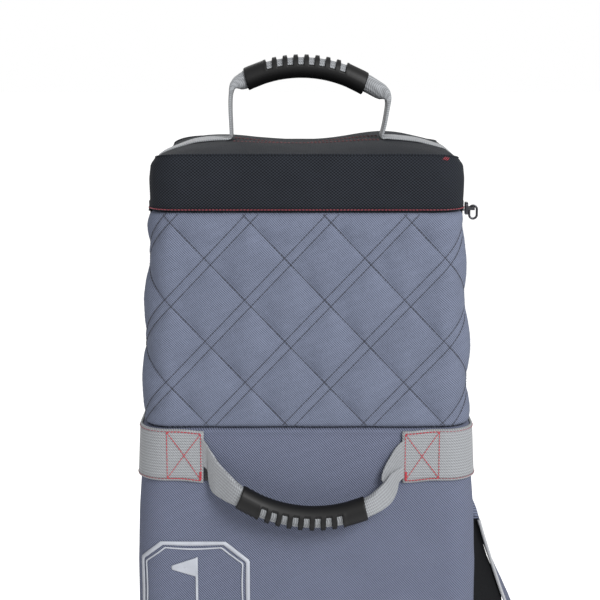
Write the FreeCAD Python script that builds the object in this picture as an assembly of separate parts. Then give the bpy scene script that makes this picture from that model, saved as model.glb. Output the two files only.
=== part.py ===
"""Wheeled soft-sided golf travel bag, standing upright on its base.

Row frame: millimetres, +Z up, +Y to the back of the bag, +X to the side that carries the pocket.
The origin is the middle of the wear plate's underside, which is the face that the bag stands on.
Every function below makes one sub-part, or a left and right pair, and NODES at the end names them all.
"""

import math
import os

import FreeCAD
import Part

V = FreeCAD.Vector

# ---- driving dimensions -------------------------------------------------------------------------
GAP = 0.3                       # room left between neighbouring pieces
CORNER = 26.0                   # plan radius of the bag's upright corners

# Each tube is a list of (width, depth, corner radius, height) stations.
CAP_WIDTH, CAP_DEPTH = 308.0, 280.0
SEAM_Z = 1168.0                 # seam between the quilted section and the cap: the lid's hinge line
QUILT_BOTTOM_Z = 955.0
SHELL_BOTTOM_Z = 60.0
TRAY_TOP_Z = 95.0
BODY = [(350, 284, 38, SHELL_BOTTOM_Z), (346, 284, 30, 810), (332, 284, CORNER, QUILT_BOTTOM_Z)]
QUILT = [
    (330, 290, CORNER, QUILT_BOTTOM_Z + GAP),
    (327, 288, CORNER, 1030),
    (CAP_WIDTH, 281, CORNER, SEAM_Z - GAP),
]
CAP = [
    (CAP_WIDTH, CAP_DEPTH, CORNER, SEAM_Z + GAP),
    (CAP_WIDTH, CAP_DEPTH, CORNER, 1210),
    (300, 272, 25, 1220),
    (236, 180, 28, 1229),
    (176, 70, 25, 1233),
]
SHELL_T, FOAM_T, STIFFENER_T, LINING_T = 1.4, 6.0, 2.0, 0.8
FOAM_ROOM = 0.5                 # between the body's fabric and the outside of its foam
QUILT_COVER_T, QUILT_FOAM_T = 2.0, 10.0
CAP_SHELL_T, CAP_FOAM_T = 2.5, 6.0

# Zipper round the back and both sides of the cap. The slider is parked at the front of the +X side.
ZIP_HALF = 8.0                  # tape height each side of the teeth
ZIP_TAPE_T = 2.0
ZIP_TEETH_HALF = 1.6
ZIP_TEETH_PROUD = 1.3
ZIP_START_Y = -CAP_DEPTH / 2 + CORNER
SLIDER_Y = ZIP_START_Y + 7.0
SLIDER_LENGTH, SLIDER_HEIGHT, SLIDER_T = 13.0, 12.0, 2.4
BRIDGE_R = 1.1
BRIDGE_REACH = 5.5              # from the slider's plate out to the middle of its bar
RING_LENGTH, RING_WIDTH, RING_T, RING_RIM = 15.0, 9.6, 2.4, 2.2

# Webbing belt that carries the front handle.
BELT_TOP_Z, BELT_BOTTOM_Z = 952.0, 899.0
BELT_T = 2.2
BELT_END_X = 99.0

# Printed badge: lowest and highest x, then lowest and highest z.
BADGE = (-164.0, -56.0, 744.0, 838.0)
BADGE_T = 0.6

# Both handles hold the same moulded grip, bent to one arc.
GRIP_ARC_R = 130.0
GRIP_HALF_ANGLE = 28.5
GRIP_OUTER_R, GRIP_WALL = 12.3, 2.6
RIB_COUNT = 7
RIB_ANGLE, SLOT_PITCH_ANGLE = 2.1, 4.75
STRAP_T = 2.4
STRAP_WIDTH = 38.0
STRAP_CORE_R = GRIP_OUTER_R - GRIP_WALL - GAP
TOP_GRIP_MID_Z = 1302.0
TOP_LEG_X = 81.0
TOP_HINGE_Z = 1254.0
FRONT_GRIP_MID_Z = 872.0
FRONT_GRIP_Y = -164.0
CROSS_WEBBING_WIDTH = 40.0

# Side pocket: its outline seen from the front, from the top flap down, as (x, z).
POCKET_Y = 85.0
POCKET_WALL = 2.5
POCKET_OUTLINE = [(177, 849), (186, 812), (200, 768), (222, 715), (232, 676), (232, 470), (222, 447)]
POCKET_ROOT_TOP_Z, POCKET_ROOT_BOTTOM_Z = 887.0, 428.0
PIPING = 3.4

# Base and wheels.
WEAR_PLATE = (220.0, 190.0, 4.0)
TRAY_WALL, TRAY_FLOOR_Z, TRAY_FLOOR_T = 3.2, 4.2, 4.0
WHEEL_X, WHEEL_Y, WHEEL_Z = 109.0, 122.0, 36.5
WHEEL_R, TYRE_INNER_R, WHEEL_WIDTH = 35.0, 25.0, 28.0
BEARING_R, BEARING_WIDTH = 11.0, 7.0
AXLE_R, RUNNING = 4.0, 0.05
HOUSING_HALF_WIDTH, HOUSING_FRONT_Y, HOUSING_TOP_Z, HOUSING_WALL = 21.0, 80.0, 84.0, 3.0
FLANGE_HALF_WIDTH, FLANGE_T = 27.0, 2.5
HUMP_ROOM, HUMP_T = 6.5, 1.2    # cloth-covered hump over each housing, inside the bag
RAIL_WIDTH, RAIL_T, RAIL_BOTTOM_Z, RAIL_TOP_Z = 24.0, 7.5, 100.0, 430.0
RIVET_R, RIVET_HEAD_R, RIVET_HEAD_T = 2.0, 4.5, 1.6

BACK_Y = BODY[0][1] / 2         # outside of the fabric at the back; the front is at -BACK_Y
LINING_INSET = SHELL_T + FOAM_T + STIFFENER_T + 4 * GAP


# ---- shape helpers ------------------------------------------------------------------------------
def rounded_rectangle(width, depth, radius, z):
    """Closed wire of four lines and four arcs in a level plane."""
    x, y = width / 2, depth / 2
    corners = [(x - radius, y - radius, 0), (radius - x, y - radius, 90),
               (radius - x, radius - y, 180), (x - radius, radius - y, 270)]

    def on_arc(corner, degrees):
        cx, cy, start = corner
        angle = math.radians(start + degrees)
        return V(cx + radius * math.cos(angle), cy + radius * math.sin(angle), z)

    edges = []
    for corner, following in zip(corners, corners[1:] + corners[:1]):
        arc = Part.Arc(on_arc(corner, 0), on_arc(corner, 45), on_arc(corner, 90))
        edges += [arc.toShape(), Part.makeLine(on_arc(corner, 90), on_arc(following, 0))]
    return Part.Wire(edges)


def solid_of(stations, inset=0.0, roof_drop=0.0):
    """Ruled solid through the stations, moved in by inset, with its roof stations lowered by roof_drop."""
    wires = []
    for number, (width, depth, radius, z) in enumerate(stations):
        lowered = z - (roof_drop if number >= 2 else 0.0)
        inner_radius = max(radius - inset, 3.0)
        wires.append(rounded_rectangle(width - 2 * inset, depth - 2 * inset, inner_radius, lowered))
    return Part.makeLoft(wires, True, True)


def tube(stations, inset, thickness):
    """Open-ended wall of the given thickness, its outside at inset from the stations."""
    return solid_of(stations, inset).cut(solid_of(stations, inset + thickness))


def width_at(stations, z):
    """(width, radius) of a tapered tube at height z."""
    for (w0, _, r0, z0), (w1, _, r1, z1) in zip(stations, stations[1:]):
        if z0 <= z <= z1:
            share = (z - z0) / (z1 - z0)
            return w0 + (w1 - w0) * share, r0 + (r1 - r0) * share
    raise ValueError(f"{z} is outside the tube")


def part_of_body(low_z, high_z):
    """The body's stations between two heights, with any of its own that lie between them."""
    heights = [low_z] + [station[3] for station in BODY if low_z < station[3] < high_z] + [high_z]
    found = []
    for z in heights:
        width, radius = width_at(BODY, z)
        found.append((width, BODY[0][1], radius, z))
    return found


def box(x0, x1, y0, y1, z0, z1):
    return Part.makeBox(x1 - x0, y1 - y0, z1 - z0, V(x0, y0, z0))


def cylinder(radius, length, base, direction):
    return Part.makeCylinder(radius, length, base, direction)


def ring(outer_r, inner_r, length, base, direction):
    return cylinder(outer_r, length, base, direction).cut(cylinder(inner_r, length, base, direction))


def mirrored(shape):
    """The same piece on the other side of the bag's middle plane."""
    return shape.mirror(V(0, 0, 0), V(1, 0, 0))


def band_loft(stations):
    """Strap solid. A station is (centre, width and thickness directions, width, thickness, squareness)."""
    sides = 16
    wires = []
    for centre, across, through, width, thickness, squareness in stations:
        points = []
        for side in range(sides):
            angle = 2 * math.pi * (side + 0.5) / sides
            c, s = math.cos(angle), math.sin(angle)
            a = math.copysign(abs(c) ** (2 / squareness), c) * width / 2
            b = math.copysign(abs(s) ** (2 / squareness), s) * thickness / 2
            points.append(centre + across * a + through * b)
        wires.append(Part.makePolygon(points + points[:1]))
    return Part.makeLoft(wires, True, True)


# ---- lower bag ----------------------------------------------------------------------------------
def rivet_places():
    """(point on the tray's outside, inward direction) of each rivet that holds the fabric to the tray."""
    side_x, face_y, z = 178.5, 145.5, TRAY_TOP_Z - 15
    front = [(V(x, -face_y, z), V(0, 1, 0)) for x in (-110, -37, 37, 110)]
    back = [(V(x, face_y, z), V(0, -1, 0)) for x in (-45, 45)]
    sides = [(V(s * side_x, y, z), V(-s, 0, 0)) for s in (-1, 1) for y in (-70, 0, 70)]
    return front + back + sides


def rivet_shanks(room=RUNNING):
    """Shanks through the tray and the fabric: with room they are the holes, without it the rivets."""
    return [cylinder(RIVET_R + room, 6.0, point, inward) for point, inward in rivet_places()]


def rail_rivet_places():
    y = BACK_Y + GAP + RAIL_T - RIVET_HEAD_T
    return [V(s * WHEEL_X, y, z) for s in (-1, 1) for z in (140, 265, 390)]


def rail_shanks(room=RUNNING):
    """Shanks that reach through the rail, the fabric and the foam, and hold the stiffener behind them."""
    reach = RAIL_T - RIVET_HEAD_T + GAP + SHELL_T + FOAM_T + 2 * GAP + STIFFENER_T
    return [cylinder(RIVET_R + room, reach, place, V(0, -1, 0)) for place in rail_rivet_places()]


def housings(room):
    return [housing_envelope(side, room) for side in (-1, 1)]


def body_shell():
    return tube(BODY, 0, SHELL_T).cut(Part.makeCompound(rivet_shanks() + rail_shanks() + housings(1.0)))


def body_foam():
    lower = TRAY_TOP_Z + 2
    width, radius = width_at(BODY, lower)
    stations = [(width, BODY[0][1], radius, lower)] + BODY[1:2] + [(332, 284, CORNER, QUILT_BOTTOM_Z - 1)]
    foam = tube(stations, SHELL_T + FOAM_ROOM, FOAM_T + GAP - FOAM_ROOM)
    return foam.cut(Part.makeCompound(rail_shanks(GAP)))


def back_stiffener():
    y = BACK_Y - SHELL_T - FOAM_T - 2 * GAP
    return box(-122, 122, y - STIFFENER_T, y, 112, 930).cut(Part.makeCompound(rail_shanks()))


def main_lining():
    stations = [(350, 284, 38, 23.0), *BODY[1:2], (332, 284, CORNER, QUILT_BOTTOM_Z - 1)]
    return tube(stations, LINING_INSET, LINING_T).cut(Part.makeCompound(housings(1.0)))


def housing_hump(side):
    """Inner cover that keeps the load off a wheel housing and its axle ends. It is open below and behind."""
    half = HOUSING_HALF_WIDTH + HUMP_ROOM
    centre = side * WHEEL_X
    back = BACK_Y - LINING_INSET - LINING_T - GAP
    front = HOUSING_FRONT_Y - 2.0 - HUMP_T
    top = HOUSING_TOP_Z + 2.0 + HUMP_T
    outer = box(centre - half, centre + half, front, back, 23.0, top)
    half -= HUMP_T
    return outer.cut(box(centre - half, centre + half, front + HUMP_T, 200, 0, top - HUMP_T))


def quilted_cover():
    return tube(QUILT, 0, QUILT_COVER_T).cut(zip_channel())


def quilt_foam():
    return tube(QUILT, QUILT_COVER_T + GAP, QUILT_FOAM_T).cut(zip_channel())


def quilt_lining():
    return tube(QUILT, QUILT_COVER_T + QUILT_FOAM_T + 2 * GAP, LINING_T).cut(zip_channel())


def base_tray():
    outer = [(357, 291, 41.5, TRAY_FLOOR_Z), (357, 291, 41.5, TRAY_TOP_Z)]
    inner = [(357, 291, 41.5, TRAY_FLOOR_Z + TRAY_FLOOR_T), (357, 291, 41.5, TRAY_TOP_Z)]
    tray = solid_of(outer).cut(solid_of(inner, TRAY_WALL))
    holes = rivet_shanks() + base_screw_shanks() + housing_screw_shanks()
    return tray.cut(Part.makeCompound(housings(GAP) + holes))


def wear_plate():
    x, y, t = WEAR_PLATE
    plate = Part.makeLoft([rounded_rectangle(x, y, 20, 0), rounded_rectangle(x, y, 20, t)], True, True)
    heads = [cylinder(5.2, 2.6, V(p.x, p.y, 0), V(0, 0, 1)) for p in base_screw_places()]
    return plate.cut(Part.makeCompound(heads + base_screw_shanks()))


def base_screw_places():
    return [V(x, y, 0.6) for x in (-90, 90) for y in (-78, 62)]


def base_screw_shanks():
    return [cylinder(2.3, 13.0, place, V(0, 0, 1)) for place in base_screw_places()]


def base_screws():
    """Flat-head screws that hold the wear plate, the tray and the inner board together."""
    made = []
    for place in base_screw_places():
        head = cylinder(5.0, 1.9, place, V(0, 0, 1))
        made.append(head.fuse(cylinder(2.2, 12.4, place, V(0, 0, 1))).removeSplitter())
    return Part.makeCompound(made)


def base_layer(low_z, high_z, inset):
    layer = solid_of([(350, 284, 38, low_z), (350, 284, 38, high_z)], inset)
    return layer.cut(Part.makeCompound(housings(HUMP_ROOM + 0.5)))


def base_board():
    return base_layer(8.5, 11.5, 3.0).cut(Part.makeCompound(base_screw_shanks()))


def base_pad():
    tips = [cylinder(4.0, 4.0, V(p.x, p.y, 10), V(0, 0, 1)) for p in base_screw_places()]
    return base_layer(11.8, 22.0, 5.0).cut(Part.makeCompound(tips))


# ---- wheels -------------------------------------------------------------------------------------
def housing_envelope(side, room):
    """Space that a wheel housing takes out of the tray and the layers above it."""
    half = HOUSING_HALF_WIDTH + room
    centre = side * WHEEL_X
    return box(centre - half, centre + half, HOUSING_FRONT_Y - room, 200, -10, HOUSING_TOP_Z + room)


def housing_screw_places(side):
    return [V(side * WHEEL_X + x, 148.3, z) for x in (-24, 24) for z in (14, 58)]


def housing_screw_shanks():
    return [cylinder(1.6, 8.0, place, V(0, -1, 0)) for s in (-1, 1) for place in housing_screw_places(s)]


def wheel_housing(side):
    """Moulded arch, open below and behind, with a flange that laps the tray's back wall."""
    centre = side * WHEEL_X
    half, inner = HOUSING_HALF_WIDTH, HOUSING_HALF_WIDTH - HOUSING_WALL
    flange_y = 145.5 + GAP
    back_y = flange_y + FLANGE_T
    arch = box(centre - half, centre + half, HOUSING_FRONT_Y, back_y, TRAY_FLOOR_Z, HOUSING_TOP_Z)
    flange = box(centre - FLANGE_HALF_WIDTH, centre + FLANGE_HALF_WIDTH, flange_y, back_y,
                 TRAY_FLOOR_Z + 2, HOUSING_TOP_Z + 6)
    hollow = box(centre - inner, centre + inner, HOUSING_FRONT_Y + HOUSING_WALL, 200, -10,
                 HOUSING_TOP_Z - HOUSING_WALL)
    axle_hole = cylinder(AXLE_R + RUNNING, 60, V(centre - 30, WHEEL_Y, WHEEL_Z), V(1, 0, 0))
    openings = [hollow, axle_hole] + housing_screw_shanks()
    return arch.fuse(flange).removeSplitter().cut(Part.makeCompound(openings))


def housing_screws():
    made = []
    for s in (-1, 1):
        for place in housing_screw_places(s):
            head = cylinder(2.8, 1.6, place, V(0, 1, 0))
            made.append(head.fuse(cylinder(1.5, 7.0, place, V(0, -1, 0))).removeSplitter())
    return Part.makeCompound(made)


def axle(side):
    """Pin with a head on its outer end."""
    centre = side * WHEEL_X
    half = HOUSING_HALF_WIDTH
    pin = cylinder(AXLE_R, 2 * half + 4.0, V(centre - half - 2.0, WHEEL_Y, WHEEL_Z), V(1, 0, 0))
    head_x = centre + side * (half + GAP)
    head = cylinder(6.5, 2.6, V(head_x, WHEEL_Y, WHEEL_Z), V(side, 0, 0))
    return pin.fuse(head).removeSplitter()


def axle_clips():
    """Push-on ring at the inner end of each axle."""
    made = []
    for s in (-1, 1):
        inner_x = s * (WHEEL_X - HOUSING_HALF_WIDTH - GAP)
        made.append(ring(7.0, AXLE_R + RUNNING, 1.5, V(inner_x, WHEEL_Y, WHEEL_Z), V(-s, 0, 0)))
    return Part.makeCompound(made)


def wheel_spacers():
    """Short tubes that keep each wheel in the middle of its housing."""
    made = []
    reach = HOUSING_HALF_WIDTH - HOUSING_WALL
    for s in (-1, 1):
        for end in (-1, 1):
            start = s * WHEEL_X + end * (WHEEL_WIDTH / 2 + 0.4)
            length = reach - WHEEL_WIDTH / 2 - 0.6
            made.append(ring(6.5, AXLE_R + RUNNING, length, V(start, WHEEL_Y, WHEEL_Z), V(end, 0, 0)))
    return Part.makeCompound(made)


def wheel_tyre(side):
    half = WHEEL_WIDTH / 2
    start = V(side * WHEEL_X - half, WHEEL_Y, WHEEL_Z)
    tyre = ring(WHEEL_R, TYRE_INNER_R + RUNNING, WHEEL_WIDTH, start, V(1, 0, 0))
    rims = [e for e in tyre.Edges if abs(e.Length - 2 * math.pi * WHEEL_R) < 0.5]
    return tyre.makeFillet(7.0, rims)


def wheel_hub(side):
    """Moulded hub with five weight-saving pockets on each face and a seat for two bearings."""
    half = WHEEL_WIDTH / 2 - 1.0
    start = V(side * WHEEL_X - half, WHEEL_Y, WHEEL_Z)
    hub = ring(TYRE_INNER_R, BEARING_R + RUNNING, 2 * half, start, V(1, 0, 0))
    pockets = []
    for number in range(5):
        angle = math.radians(72 * number)
        y, z = WHEEL_Y + 18 * math.cos(angle), WHEEL_Z + 18 * math.sin(angle)
        for end in (-1, 1):
            pockets.append(cylinder(4.2, 8.0, V(side * WHEEL_X + end * (half + 0.5), y, z), V(-end, 0, 0)))
    return hub.cut(Part.makeCompound(pockets))


def wheel_bearings(side):
    made = []
    for end in (-1, 1):
        start = V(side * WHEEL_X + end * (WHEEL_WIDTH / 2 - 1.0), WHEEL_Y, WHEEL_Z)
        made.append(ring(BEARING_R, AXLE_R + RUNNING, BEARING_WIDTH, start, V(-end, 0, 0)))
    return Part.makeCompound(made)


def skid_rail(side):
    """Rounded runner that takes the wear when the bag is pulled up steps."""
    x, y = side * WHEEL_X, BACK_Y + GAP
    rail = box(x - RAIL_WIDTH / 2, x + RAIL_WIDTH / 2, y, y + RAIL_T, RAIL_BOTTOM_Z, RAIL_TOP_Z)
    outer = [e for e in rail.Edges if all(abs(v.Point.y - y - RAIL_T) < 0.01 for v in e.Vertexes)]
    rail = rail.makeFillet(4.0, outer)
    sinks = [cylinder(RIVET_HEAD_R + 0.4, 4.0, place, V(0, 1, 0)) for place in rail_rivet_places()]
    return rail.cut(Part.makeCompound(sinks + rail_shanks()))


def rail_rivets():
    made = []
    for place, shank in zip(rail_rivet_places(), rail_shanks(0)):
        head = cylinder(RIVET_HEAD_R, RIVET_HEAD_T - 0.2, place, V(0, 1, 0))
        made.append(head.fuse(shank).removeSplitter())
    return Part.makeCompound(made)


def tray_rivets():
    made = []
    for (point, inward), shank in zip(rivet_places(), rivet_shanks(0)):
        head = cylinder(RIVET_HEAD_R, RIVET_HEAD_T, point - inward * RIVET_HEAD_T, inward)
        made.append(head.fuse(shank).removeSplitter())
    return Part.makeCompound(made)


# ---- belt and front handle ----------------------------------------------------------------------
def handle_belt():
    """Webbing that runs from one side of the front round the back to the other side."""
    belt = tube(part_of_body(BELT_BOTTOM_Z, BELT_TOP_Z), -GAP - BELT_T, BELT_T)
    return belt.cut(box(-BELT_END_X, BELT_END_X, -200, 0, BELT_BOTTOM_Z - 1, BELT_TOP_Z + 1))


def handle_backing_patches():
    """Dark reinforcement sewn to the fabric where the handle strap leaves the belt."""
    return Part.makeCompound([
        box(min(x0, x1), max(x0, x1), -BACK_Y - GAP - 0.8, -BACK_Y - GAP, BELT_BOTTOM_Z + 3, BELT_TOP_Z - 6)
        for x0, x1 in ((88, BELT_END_X - GAP), (-88, -BELT_END_X + GAP))
    ])


def badge_print():
    """Flexible printed emblem, bonded to the front where it meets the left-hand corner."""
    x0, x1, z0, z1 = BADGE
    skin = tube(part_of_body(z0, z1), -GAP - BADGE_T, BADGE_T)
    return skin.common(box(x0, x1, -200, -90, z0, z1))


def grip_frame(angle, upward):
    """(point, outward direction) at an angle along a grip's arc. Upward is 1 for the top handle."""
    a = math.radians(angle)
    outward = V(math.sin(a), 0, upward * math.cos(a))
    return outward * GRIP_ARC_R, outward


def grip(arc_centre, upward):
    """Moulded sleeve whose outer side is cut into ribs, so that the strap shows between them."""
    middle_point = V(0, 0, upward * GRIP_ARC_R)

    def disc(radius):
        return Part.Face(Part.Wire([Part.makeCircle(radius, middle_point, V(1, 0, 0))]))

    section = disc(GRIP_OUTER_R).cut(disc(GRIP_OUTER_R - GRIP_WALL)).Faces[0]
    section.rotate(V(0, 0, 0), V(0, 1, 0), -GRIP_HALF_ANGLE)
    sleeve = section.revolve(V(0, 0, 0), V(0, 1, 0), 2 * GRIP_HALF_ANGLE)
    slots = []
    low, high = upward * (GRIP_ARC_R + 1.5), upward * (GRIP_ARC_R + GRIP_OUTER_R + 2)
    for number in range(RIB_COUNT + 1):
        middle = (number - RIB_COUNT / 2) * SLOT_PITCH_ANGLE
        corners = [V(0, y, z) for y, z in ((-20, low), (20, low), (20, high), (-20, high))]
        face = Part.Face(Part.makePolygon(corners + corners[:1]))
        width = SLOT_PITCH_ANGLE - RIB_ANGLE
        face.rotate(V(0, 0, 0), V(0, 1, 0), middle - width / 2)
        slots.append(face.revolve(V(0, 0, 0), V(0, 1, 0), width))
    sleeve = sleeve.cut(Part.makeCompound(slots))
    sleeve.translate(arc_centre)
    return sleeve


def core_stations(arc_centre, upward):
    """Stations of the rolled strap inside a grip, from the -X end to the +X end."""
    made = []
    count = 12
    for number in range(count + 1):
        angle = GRIP_HALF_ANGLE * (2 * number / count - 1)
        point, outward = grip_frame(angle, upward)
        made.append((arc_centre + point, outward, V(0, 1, 0), 2 * STRAP_CORE_R, 2 * STRAP_CORE_R, 2.0))
    return made


def strap_with_legs(leg, core):
    """Whole strap: the -X leg, the core and the +X leg. The leg's stations run from its end to the grip."""
    other = []
    for centre, across, through, width, thickness, squareness in reversed(leg):
        flipped = [V(-v.x, v.y, v.z) for v in (centre, across, through)]
        other.append((flipped[0], flipped[1], flipped[2] * -1, width, thickness, squareness))
    return band_loft(leg + core + other)


TOP_ARC_CENTRE = V(0, 0, TOP_GRIP_MID_Z - GRIP_ARC_R)
FRONT_ARC_CENTRE = V(0, FRONT_GRIP_Y, FRONT_GRIP_MID_Z + GRIP_ARC_R)


def top_handle_grip():
    return grip(TOP_ARC_CENTRE, 1)


def front_handle_grip():
    return grip(FRONT_ARC_CENTRE, -1)


def top_handle_strap():
    """Flat legs that stand on the cap and roll up into the grip. Each foot is round about the hinge axis."""
    through, across = V(0, 1, 0), V(-1, 0, 0)
    half = STRAP_WIDTH / 2
    leg = []
    for below in (18.3, 15.0, 10.0, 5.0, 0.0):
        width = 2 * math.sqrt(half ** 2 - below ** 2)
        leg.append((V(-TOP_LEG_X, 0, TOP_HINGE_Z - below), across, through, STRAP_T, width, 7.0))
    above = V(-TOP_LEG_X - 1, 0, TOP_HINGE_Z + 16)
    leg.append((above, across, through, STRAP_T + 0.5, STRAP_WIDTH - 2, 6.0))
    for x, z, lean, thickness, width, squareness in (
        (-80.0, 1279.0, 20, 5.0, 31.0, 4.0),
        (-74.0, 1286.0, 50, 10.0, 24.5, 3.0),
        (-67.0, 1287.5, 64, 16.0, 20.0, 2.4),
    ):
        lean = math.radians(lean)
        leaning = V(-math.cos(lean), 0, math.sin(lean))
        leg.append((V(x, 0, z), leaning, through, thickness, width, squareness))
    return strap_with_legs(leg, core_stations(TOP_ARC_CENTRE, 1))


def front_handle_strap():
    """Flat ends that leave the belt upright, then narrow and roll into the grip as they hang down."""
    leg = []
    for x, y, z, lean, width, thickness, squareness in (
        (-96.5, -144.6, 926.0, 3, 37.0, STRAP_T, 7.0),
        (-89.5, -148.5, 921.0, 16, 37.0, STRAP_T, 7.0),
        (-80.0, -154.5, 910.0, 34, 34.0, 3.6, 5.0),
        (-70.0, -160.5, 898.0, 46, 27.0, 8.0, 3.2),
        (-64.0, -163.2, 890.5, 56, 21.0, 14.0, 2.4),
    ):
        lean = math.radians(lean)
        across = V(-math.sin(lean), 0, -math.cos(lean))
        leg.append((V(x, y, z), across, V(0, 1, 0), width, thickness, squareness))
    return strap_with_legs(leg, core_stations(FRONT_ARC_CENTRE, -1))


# ---- cap, which opens as the lid ----------------------------------------------------------------
def zip_channel():
    """Slot that the zipper fills, along both sides and the back."""
    return box(-250, 250, ZIP_START_Y, 250, SEAM_Z - ZIP_HALF, SEAM_Z + ZIP_HALF)


def cap_shell():
    outside = solid_of(CAP)
    inside = solid_of(CAP, CAP_SHELL_T, CAP_SHELL_T)
    return outside.cut(inside).cut(zip_channel())


def cap_foam():
    outside = solid_of(CAP, CAP_SHELL_T + GAP, CAP_SHELL_T + GAP)
    inside = solid_of(CAP, CAP_SHELL_T + GAP + CAP_FOAM_T, CAP_SHELL_T + GAP + CAP_FOAM_T)
    return outside.cut(inside).cut(zip_channel())


def zip_band(low_z, high_z, inset, thickness):
    stations = [(CAP_WIDTH, CAP_DEPTH, CORNER, low_z), (CAP_WIDTH, CAP_DEPTH, CORNER, high_z)]
    band = tube(stations, inset, thickness)
    return band.common(box(-250, 250, ZIP_START_Y + GAP, 250, low_z, high_z))


def zip_tape_lower():
    return zip_band(SEAM_Z - ZIP_HALF + GAP, SEAM_Z - ZIP_TEETH_HALF - 0.1, 0.4, ZIP_TAPE_T)


def zip_tape_upper():
    return zip_band(SEAM_Z + ZIP_TEETH_HALF + 0.1, SEAM_Z + ZIP_HALF - GAP, 0.4, ZIP_TAPE_T)


def zip_teeth_lower():
    return zip_band(SEAM_Z - ZIP_TEETH_HALF, SEAM_Z - 0.15, -ZIP_TEETH_PROUD, ZIP_TEETH_PROUD + 2.0)


def zip_teeth_upper():
    return zip_band(SEAM_Z + 0.15, SEAM_Z + ZIP_TEETH_HALF, -ZIP_TEETH_PROUD, ZIP_TEETH_PROUD + 2.0)


def zip_slider():
    """Outer plate of the slider, with the bridge that its ring hangs from."""
    x = CAP_WIDTH / 2 + ZIP_TEETH_PROUD + GAP
    half = SLIDER_LENGTH / 2
    plate = box(x, x + SLIDER_T, SLIDER_Y - half, SLIDER_Y + half, SEAM_Z - SLIDER_HEIGHT / 2,
                SEAM_Z + SLIDER_HEIGHT / 2)
    corners = [e for e in plate.Edges if abs(e.Vertexes[0].Point.x - e.Vertexes[1].Point.x) > 1]
    plate = plate.makeFillet(3.0, corners)
    bar_x = slider_bar().x
    bar = cylinder(BRIDGE_R, 9.0, V(bar_x, SLIDER_Y - 4.5, SEAM_Z), V(0, 1, 0))
    posts = [
        box(x + SLIDER_T - 0.5, bar_x + BRIDGE_R, y - 0.9, y + 0.9, SEAM_Z - 1.5, SEAM_Z + 1.5)
        for y in (SLIDER_Y - 4.0, SLIDER_Y + 4.0)
    ]
    return plate.fuse([bar] + posts).removeSplitter()


def slider_bar():
    """Middle of the bar that the ring turns on."""
    return V(CAP_WIDTH / 2 + ZIP_TEETH_PROUD + GAP + SLIDER_T + BRIDGE_REACH, SLIDER_Y, SEAM_Z)


def pull_ring(bar, bar_axis):
    """Oval ring that hangs from a bar and lies across bar_axis, the bar's own direction."""
    half = RING_LENGTH / 2 - RING_WIDTH / 2

    def stadium(radius):
        straight = Part.makeBox(2 * radius, RING_T, 2 * half, V(-radius, -RING_T / 2, -half))
        ends = [cylinder(radius, RING_T, V(0, -RING_T / 2, z), V(0, 1, 0)) for z in (-half, half)]
        return straight.fuse(ends).removeSplitter()

    made = stadium(RING_WIDTH / 2).cut(stadium(RING_WIDTH / 2 - RING_RIM))
    made = made.makeFillet(0.9, made.Edges)
    hang = RING_LENGTH / 2 - RING_RIM - BRIDGE_R - GAP
    made.translate(V(0, 0, -hang))
    if bar_axis == "x":
        made.rotate(V(0, 0, 0), V(0, 0, 1), -90)
    made.translate(bar)
    return made


def zip_ring():
    return pull_ring(slider_bar(), "y")


def cross_webbing(side):
    """Webbing sewn over the cap from a handle leg to the side, then down to the zipper."""
    half = CROSS_WEBBING_WIDTH / 2
    lift, t = GAP + 0.2, 2.0
    slope = [(TOP_LEG_X + 3.5, 1233), (88, 1233), (118, 1229), (150, 1220), (154, 1210)]
    slope.append((154, SEAM_Z + ZIP_HALF + 2))
    low = offset_line(slope, lift)
    high = offset_line(slope, lift + t)
    outline = [V(x, -half, z) for x, z in low + high[::-1]]
    band = Part.Face(Part.makePolygon(outline + outline[:1])).extrude(V(0, CROSS_WEBBING_WIDTH, 0))
    return band if side > 0 else mirrored(band)


def offset_line(points, distance):
    """The (x, z) points moved to the left of their direction of travel, with mitred corners."""
    normals = []
    for (x0, z0), (x1, z1) in zip(points, points[1:]):
        length = math.hypot(x1 - x0, z1 - z0)
        normals.append(((z0 - z1) / length, (x1 - x0) / length))
    moved = []
    for number, (x, z) in enumerate(points):
        before = normals[max(number - 1, 0)]
        after = normals[min(number, len(normals) - 1)]
        share = distance / (1 + before[0] * after[0] + before[1] * after[1])
        moved.append((x + (before[0] + after[0]) * share, z + (before[1] + after[1]) * share))
    return moved


# ---- side pocket --------------------------------------------------------------------------------
def body_side_x(z):
    return width_at(BODY, z)[0] / 2


def pocket_inner_line(top_z, bottom_z):
    """(x, z) points just outside the bag's side, from top_z down to bottom_z."""
    heights = [top_z] + [z for z in (810.0,) if bottom_z < z < top_z] + [bottom_z]
    return [(body_side_x(z) + GAP, z) for z in heights]


def pocket_prism(outline, y0, y1):
    points = [V(x, y0, z) for x, z in outline]
    return Part.Face(Part.makePolygon(points + points[:1])).extrude(V(0, y1 - y0, 0))


def pocket_gusset():
    """Two side walls and the floor between them."""
    outline = POCKET_OUTLINE + pocket_inner_line(POCKET_OUTLINE[0][1], POCKET_ROOT_BOTTOM_Z)[::-1]
    walls = [pocket_prism(outline, -POCKET_Y, -POCKET_Y + POCKET_WALL),
             pocket_prism(outline, POCKET_Y - POCKET_WALL, POCKET_Y)]
    root = (body_side_x(POCKET_ROOT_BOTTOM_Z) + GAP, POCKET_ROOT_BOTTOM_Z)
    floor_line = [POCKET_OUTLINE[-1], root]
    slab = pocket_prism(floor_line + offset_line(floor_line, -POCKET_WALL)[::-1], -POCKET_Y, POCKET_Y)
    floor = slab.common(pocket_prism(outline, -POCKET_Y, POCKET_Y))
    return walls[0].fuse([walls[1], floor]).removeSplitter()


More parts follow.
